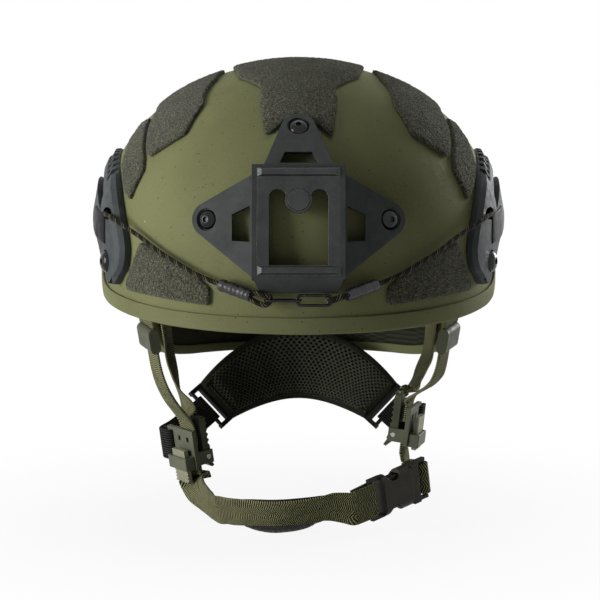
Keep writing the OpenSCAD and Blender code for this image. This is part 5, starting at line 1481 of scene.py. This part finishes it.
def finishes():
    """Every finish, made once."""
    if FINISHES:
        return FINISHES
    made = {
        "paint": paint("shell_paint_finish", srgb(126, 128, 89), srgb(116, 118, 81),
                       srgb(146, 147, 106), srgb(50, 48, 33)),
        "trim": paint("trim_finish", srgb(122, 124, 87), srgb(112, 114, 79),
                      srgb(138, 139, 101), srgb(52, 50, 34)),
        "inside": laminate("inner_face_finish", srgb(58, 60, 44), srgb(40, 41, 31)),
        "loops": loops("loop_finish", srgb(30, 31, 22), srgb(84, 85, 64), srgb(172, 172, 140)),
        "frame": plastic("frame_plastic_finish", srgb(72, 75, 74), srgb(62, 65, 64),
                         srgb(98, 101, 98), 0.66, 0.6, 0.05, 0.12, 0.3),
        "rail": plastic("rail_plastic_finish", srgb(76, 80, 81), srgb(64, 68, 70),
                        srgb(106, 110, 109), 0.62, 0.6, 0.05, 0.14, 0.4),
        "cover": plastic("rail_cover_finish", srgb(12, 12, 12), srgb(8, 8, 8),
                         srgb(34, 34, 34), 0.5, 0.5, 0.03, 0.08, 0.3),
        "insert": metal("insert_finish", srgb(54, 55, 55), srgb(44, 45, 45),
                        srgb(150, 152, 152), 0.42, 0.5, 0.35),
        "plug": metal("plug_finish", srgb(58, 60, 60), srgb(50, 51, 52),
                      srgb(150, 150, 148), 0.42, 0.5, 0.4),
        "screw": metal("screw_finish", srgb(22, 22, 24), srgb(16, 16, 18),
                       srgb(110, 110, 110), 0.2, 0.5, 0.5, 0.2),
        "steel": metal("steel_finish", srgb(168, 168, 168), srgb(140, 140, 140),
                       srgb(210, 210, 210), 0.35, 1.0),
        "wire": metal("wire_finish", srgb(36, 36, 38), srgb(24, 24, 26),
                      srgb(96, 96, 98), 0.2, 0.75, 0.5, 0.1),
        "cord": braid("cord_finish", srgb(18, 17, 15), srgb(44, 42, 36), srgb(150, 140, 118)),
        "sleeve": rubber("sleeve_finish", srgb(34, 34, 38), srgb(20, 20, 23),
                         srgb(60, 60, 64), 0.34, 0.5, 2.5),
        "olive": weave("olive_webbing_finish", srgb(36, 36, 22), srgb(104, 104, 72), srgb(186, 184, 140)),
        "black": ribbed("black_webbing_finish", srgb(14, 14, 13), srgb(34, 34, 32), srgb(74, 74, 68)),
        "adjuster": plastic("adjuster_finish", srgb(102, 105, 86), srgb(88, 91, 74),
                            srgb(136, 138, 118), 0.5, 0.5, 0.04, 0.16),
        "lever": plastic("lever_finish", srgb(82, 84, 66), srgb(70, 72, 56),
                         srgb(116, 118, 98), 0.48, 0.5, 0.04, 0.16),
        "tab": plastic("tab_finish", srgb(154, 154, 130), srgb(142, 142, 118),
                       srgb(180, 180, 158), 0.5, 0.5, 0.04, 0.16),
        "slide": plastic("slide_finish", srgb(84, 88, 68), srgb(72, 75, 58),
                         srgb(112, 114, 94), 0.5, 0.5, 0.04, 0.16),
        "buckle": plastic("buckle_finish", srgb(52, 50, 42), srgb(42, 40, 34),
                          srgb(92, 90, 78), 0.42, 0.5, 0.03, 0.14),
        "dark": plastic("dark_plastic_finish", srgb(40, 41, 38), srgb(30, 31, 29),
                        srgb(76, 77, 72), 0.45, 0.5, 0.04, 0.14),
        "spacer": spacer("spacer_finish", srgb(10, 10, 8), srgb(50, 52, 42), srgb(92, 94, 78)),
        "binding": cloth("binding_finish", srgb(46, 47, 40), srgb(30, 31, 26), srgb(62, 63, 54), 0.6),
        "hide": leather("cup_finish", srgb(52, 50, 43), srgb(36, 35, 30), srgb(76, 74, 64)),
        "pad": cloth("pad_finish", srgb(44, 44, 42), srgb(26, 26, 25), srgb(60, 60, 57)),
        "seam": cloth("seam_finish", srgb(34, 34, 32), srgb(20, 20, 19), srgb(48, 48, 45), 0.5),
        "hook": hooks("hook_finish", srgb(20, 20, 20), srgb(56, 56, 54)),
        "pale_thread": thread("pale_thread_finish", srgb(150, 146, 126), srgb(112, 108, 92)),
        "dark_thread": thread("dark_thread_finish", srgb(96, 90, 56), srgb(62, 58, 38)),
    }
    FINISHES.update(made)
    return FINISHES


class HelmetSettings(bpy.types.PropertyGroup):
    """What the looks are made from."""

    pile_spacing: bpy.props.FloatProperty(name="Pile Spacing", default=1.0, min=0.6, max=3.0,
                                          description="Millimetres between tufts of the loop patches")
    pile_height: bpy.props.FloatProperty(name="Pile Height", default=0.55, min=0.0, max=1.0,
                                         description="Rise and fall of the tufts, in millimetres")
    key_power: bpy.props.FloatProperty(name="Key Lamp", default=15.0, min=0.0,
                                       description="Watts of the key lamp")
    rim_power: bpy.props.FloatProperty(name="Rim Lamp", default=10.0, min=0.0,
                                       description="Watts of the rear lamp")
    top_power: bpy.props.FloatProperty(name="Top Lamp", default=4.2, min=0.0,
                                       description="Watts of the top lamp")
    ambient: bpy.props.FloatProperty(name="Ambient", default=0.05, min=0.0, max=1.0,
                                     description="Strength of the world on the object")


class MakeShell(bpy.types.Operator):
    """Make the painted shell and its rubber trim"""

    bl_idname = "helmet.make_shell"
    bl_label = "Shell"

    def execute(self, context):
        f = finishes()
        build_shell(f["paint"], f["inside"])
        build_trim(f["trim"])
        return {"FINISHED"}


class MakePatches(bpy.types.Operator):
    """Lay the loop patches on the shell"""

    bl_idname = "helmet.make_patches"
    bl_label = "Loop Patches"

    def execute(self, context):
        build_patches(finishes()["loops"], context.scene.helmet_settings)
        return {"FINISHED"}


class MakeShroud(bpy.types.Operator):
    """Finish the shroud's frame, insert, plug and fasteners"""

    bl_idname = "helmet.make_shroud"
    bl_label = "Shroud"

    def execute(self, context):
        f = finishes()
        refine("shroud_frame", f["frame"], 0.5, 26, 2, 24)
        refine("shroud_insert", f["insert"], 0.3, 20, 2, 24)
        refine("insert_plug", f["plug"], 0.3, 34, 2)
        refine("shroud_screws", f["screw"], 0.25, 40, 2)
        refine("shroud_nuts", f["steel"], 0.2, 40, 1)
        return {"FINISHED"}


class MakeRails(bpy.types.Operator):
    """Finish the side rails and their fasteners"""

    bl_idname = "helmet.make_rails"
    bl_label = "Rails"

    def execute(self, context):
        f = finishes()
        build_rails(f["rail"], f["cover"], f["screw"])
        refine("rail_nuts", f["steel"], 0.2, 40, 1)
        refine("anchor_tabs", f["dark"], 0.3, 40, 2)
        return {"FINISHED"}


class MakeLanyards(bpy.types.Operator):
    """Make the braided lanyards with their sleeves, eyes and hooks"""

    bl_idname = "helmet.make_lanyards"
    bl_label = "Lanyards"

    def execute(self, context):
        f = finishes()
        build_lanyards(f["cord"], f["sleeve"], f["wire"])
        for node in ("gate_left", "gate_right"):
            refine(node, f["wire"], 0.2, 40, 2)
        return {"FINISHED"}


class MakeLiner(bpy.types.Operator):
    """Make the liner pads and the hook discs that hold them"""

    bl_idname = "helmet.make_liner"
    bl_label = "Liner"

    def execute(self, context):
        f = finishes()
        build_pads(f["pad"], f["seam"], f["hook"])
        return {"FINISHED"}


class MakeHarness(bpy.types.Operator):
    """Sew the side webbing and finish the slides and adjusters"""

    bl_idname = "helmet.make_harness"
    bl_label = "Harness"

    def execute(self, context):
        f = finishes()
        build_side_straps(f["olive"], f["black"], f["dark_thread"])
        for node in ("strap_slide_left", "strap_slide_right"):
            refine(node, f["slide"], 0.6, 34, 3)
        for node in ("adjuster_left", "adjuster_right"):
            refine(node, f["adjuster"], 0.4, 34, 2)
        for node in ("cam_lever_left", "cam_lever_right"):
            refine(node, f["lever"], 0.5, 34, 2)
        refine("tail_keepers", f["adjuster"], 0.7, 34, 3)
        refine("tail_tabs", f["tab"], 0.5, 34, 2)
        refine("lever_pins", f["steel"], 0.2, 34, 1)
        return {"FINISHED"}


class MakeNapePad(bpy.types.Operator):
    """Make the nape pad with its binding, plates and hanger"""

    bl_idname = "helmet.make_nape_pad"
    bl_label = "Nape Pad"

    def execute(self, context):
        f = finishes()
        build_nape(f["spacer"], f["binding"], f["dark_thread"], f["black"])
        refine("nape_plates", f["dark"], 0.6, 34, 3)
        return {"FINISHED"}


class MakeChin(bpy.types.Operator):
    """Sew the chin band and cup and finish the buckle"""

    bl_idname = "helmet.make_chin"
    bl_label = "Chin Strap"

    def execute(self, context):
        f = finishes()
        build_chin(f["olive"], f["hide"], f["pale_thread"], f["dark_thread"])
        build_buckle_strap(f["olive"])
        refine("buckle_female", f["buckle"], 0.5, 34, 3)
        refine("buckle_male", f["buckle"], 0.6, 34, 3)
        for node in ("buckle_prong_upper", "buckle_prong_lower"):
            refine(node, f["buckle"], 0.5, 34, 3)
        return {"FINISHED"}


class MakeStage(bpy.types.Operator):
    """Set the camera, lamps, world and floor"""

    bl_idname = "helmet.make_stage"
    bl_label = "Studio"

    def execute(self, context):
        build_stage(context.scene.helmet_settings)
        return {"FINISHED"}


STEPS = (MakeStage, MakeLanyards, MakeShell, MakePatches, MakeShroud, MakeRails, MakeLiner,
         MakeHarness, MakeNapePad, MakeChin)


class HelmetPanel(bpy.types.Panel):
    """Sidebar panel with one button a step"""

    bl_idname = "VIEW3D_PT_helmet_looks"
    bl_label = "Helmet Looks"
    bl_space_type = "VIEW_3D"
    bl_region_type = "UI"
    bl_category = "Helmet"

    def draw(self, context):
        settings = context.scene.helmet_settings
        for name in ("pile_spacing", "pile_height", "key_power", "rim_power", "top_power", "ambient"):
            self.layout.prop(settings, name)
        for step in STEPS:
            self.layout.operator(step.bl_idname)


CLASSES = (HelmetSettings, *STEPS, HelmetPanel)


def register():
    for c in CLASSES:
        bpy.utils.register_class(c)
    bpy.types.Scene.helmet_settings = bpy.props.PointerProperty(type=HelmetSettings)


def unregister():
    del bpy.types.Scene.helmet_settings
    for c in reversed(CLASSES):
        bpy.utils.unregister_class(c)


def main():
    register()
    bpy.ops.helmet.make_stage()
    bpy.ops.helmet.make_lanyards()
    bpy.ops.helmet.make_shell()
    bpy.ops.helmet.make_patches()
    bpy.ops.helmet.make_shroud()
    bpy.ops.helmet.make_rails()
    bpy.ops.helmet.make_liner()
    bpy.ops.helmet.make_harness()
    bpy.ops.helmet.make_nape_pad()
    bpy.ops.helmet.make_chin()
    bpy.context.view_layer.update()


if __name__ == "__main__":
    main()
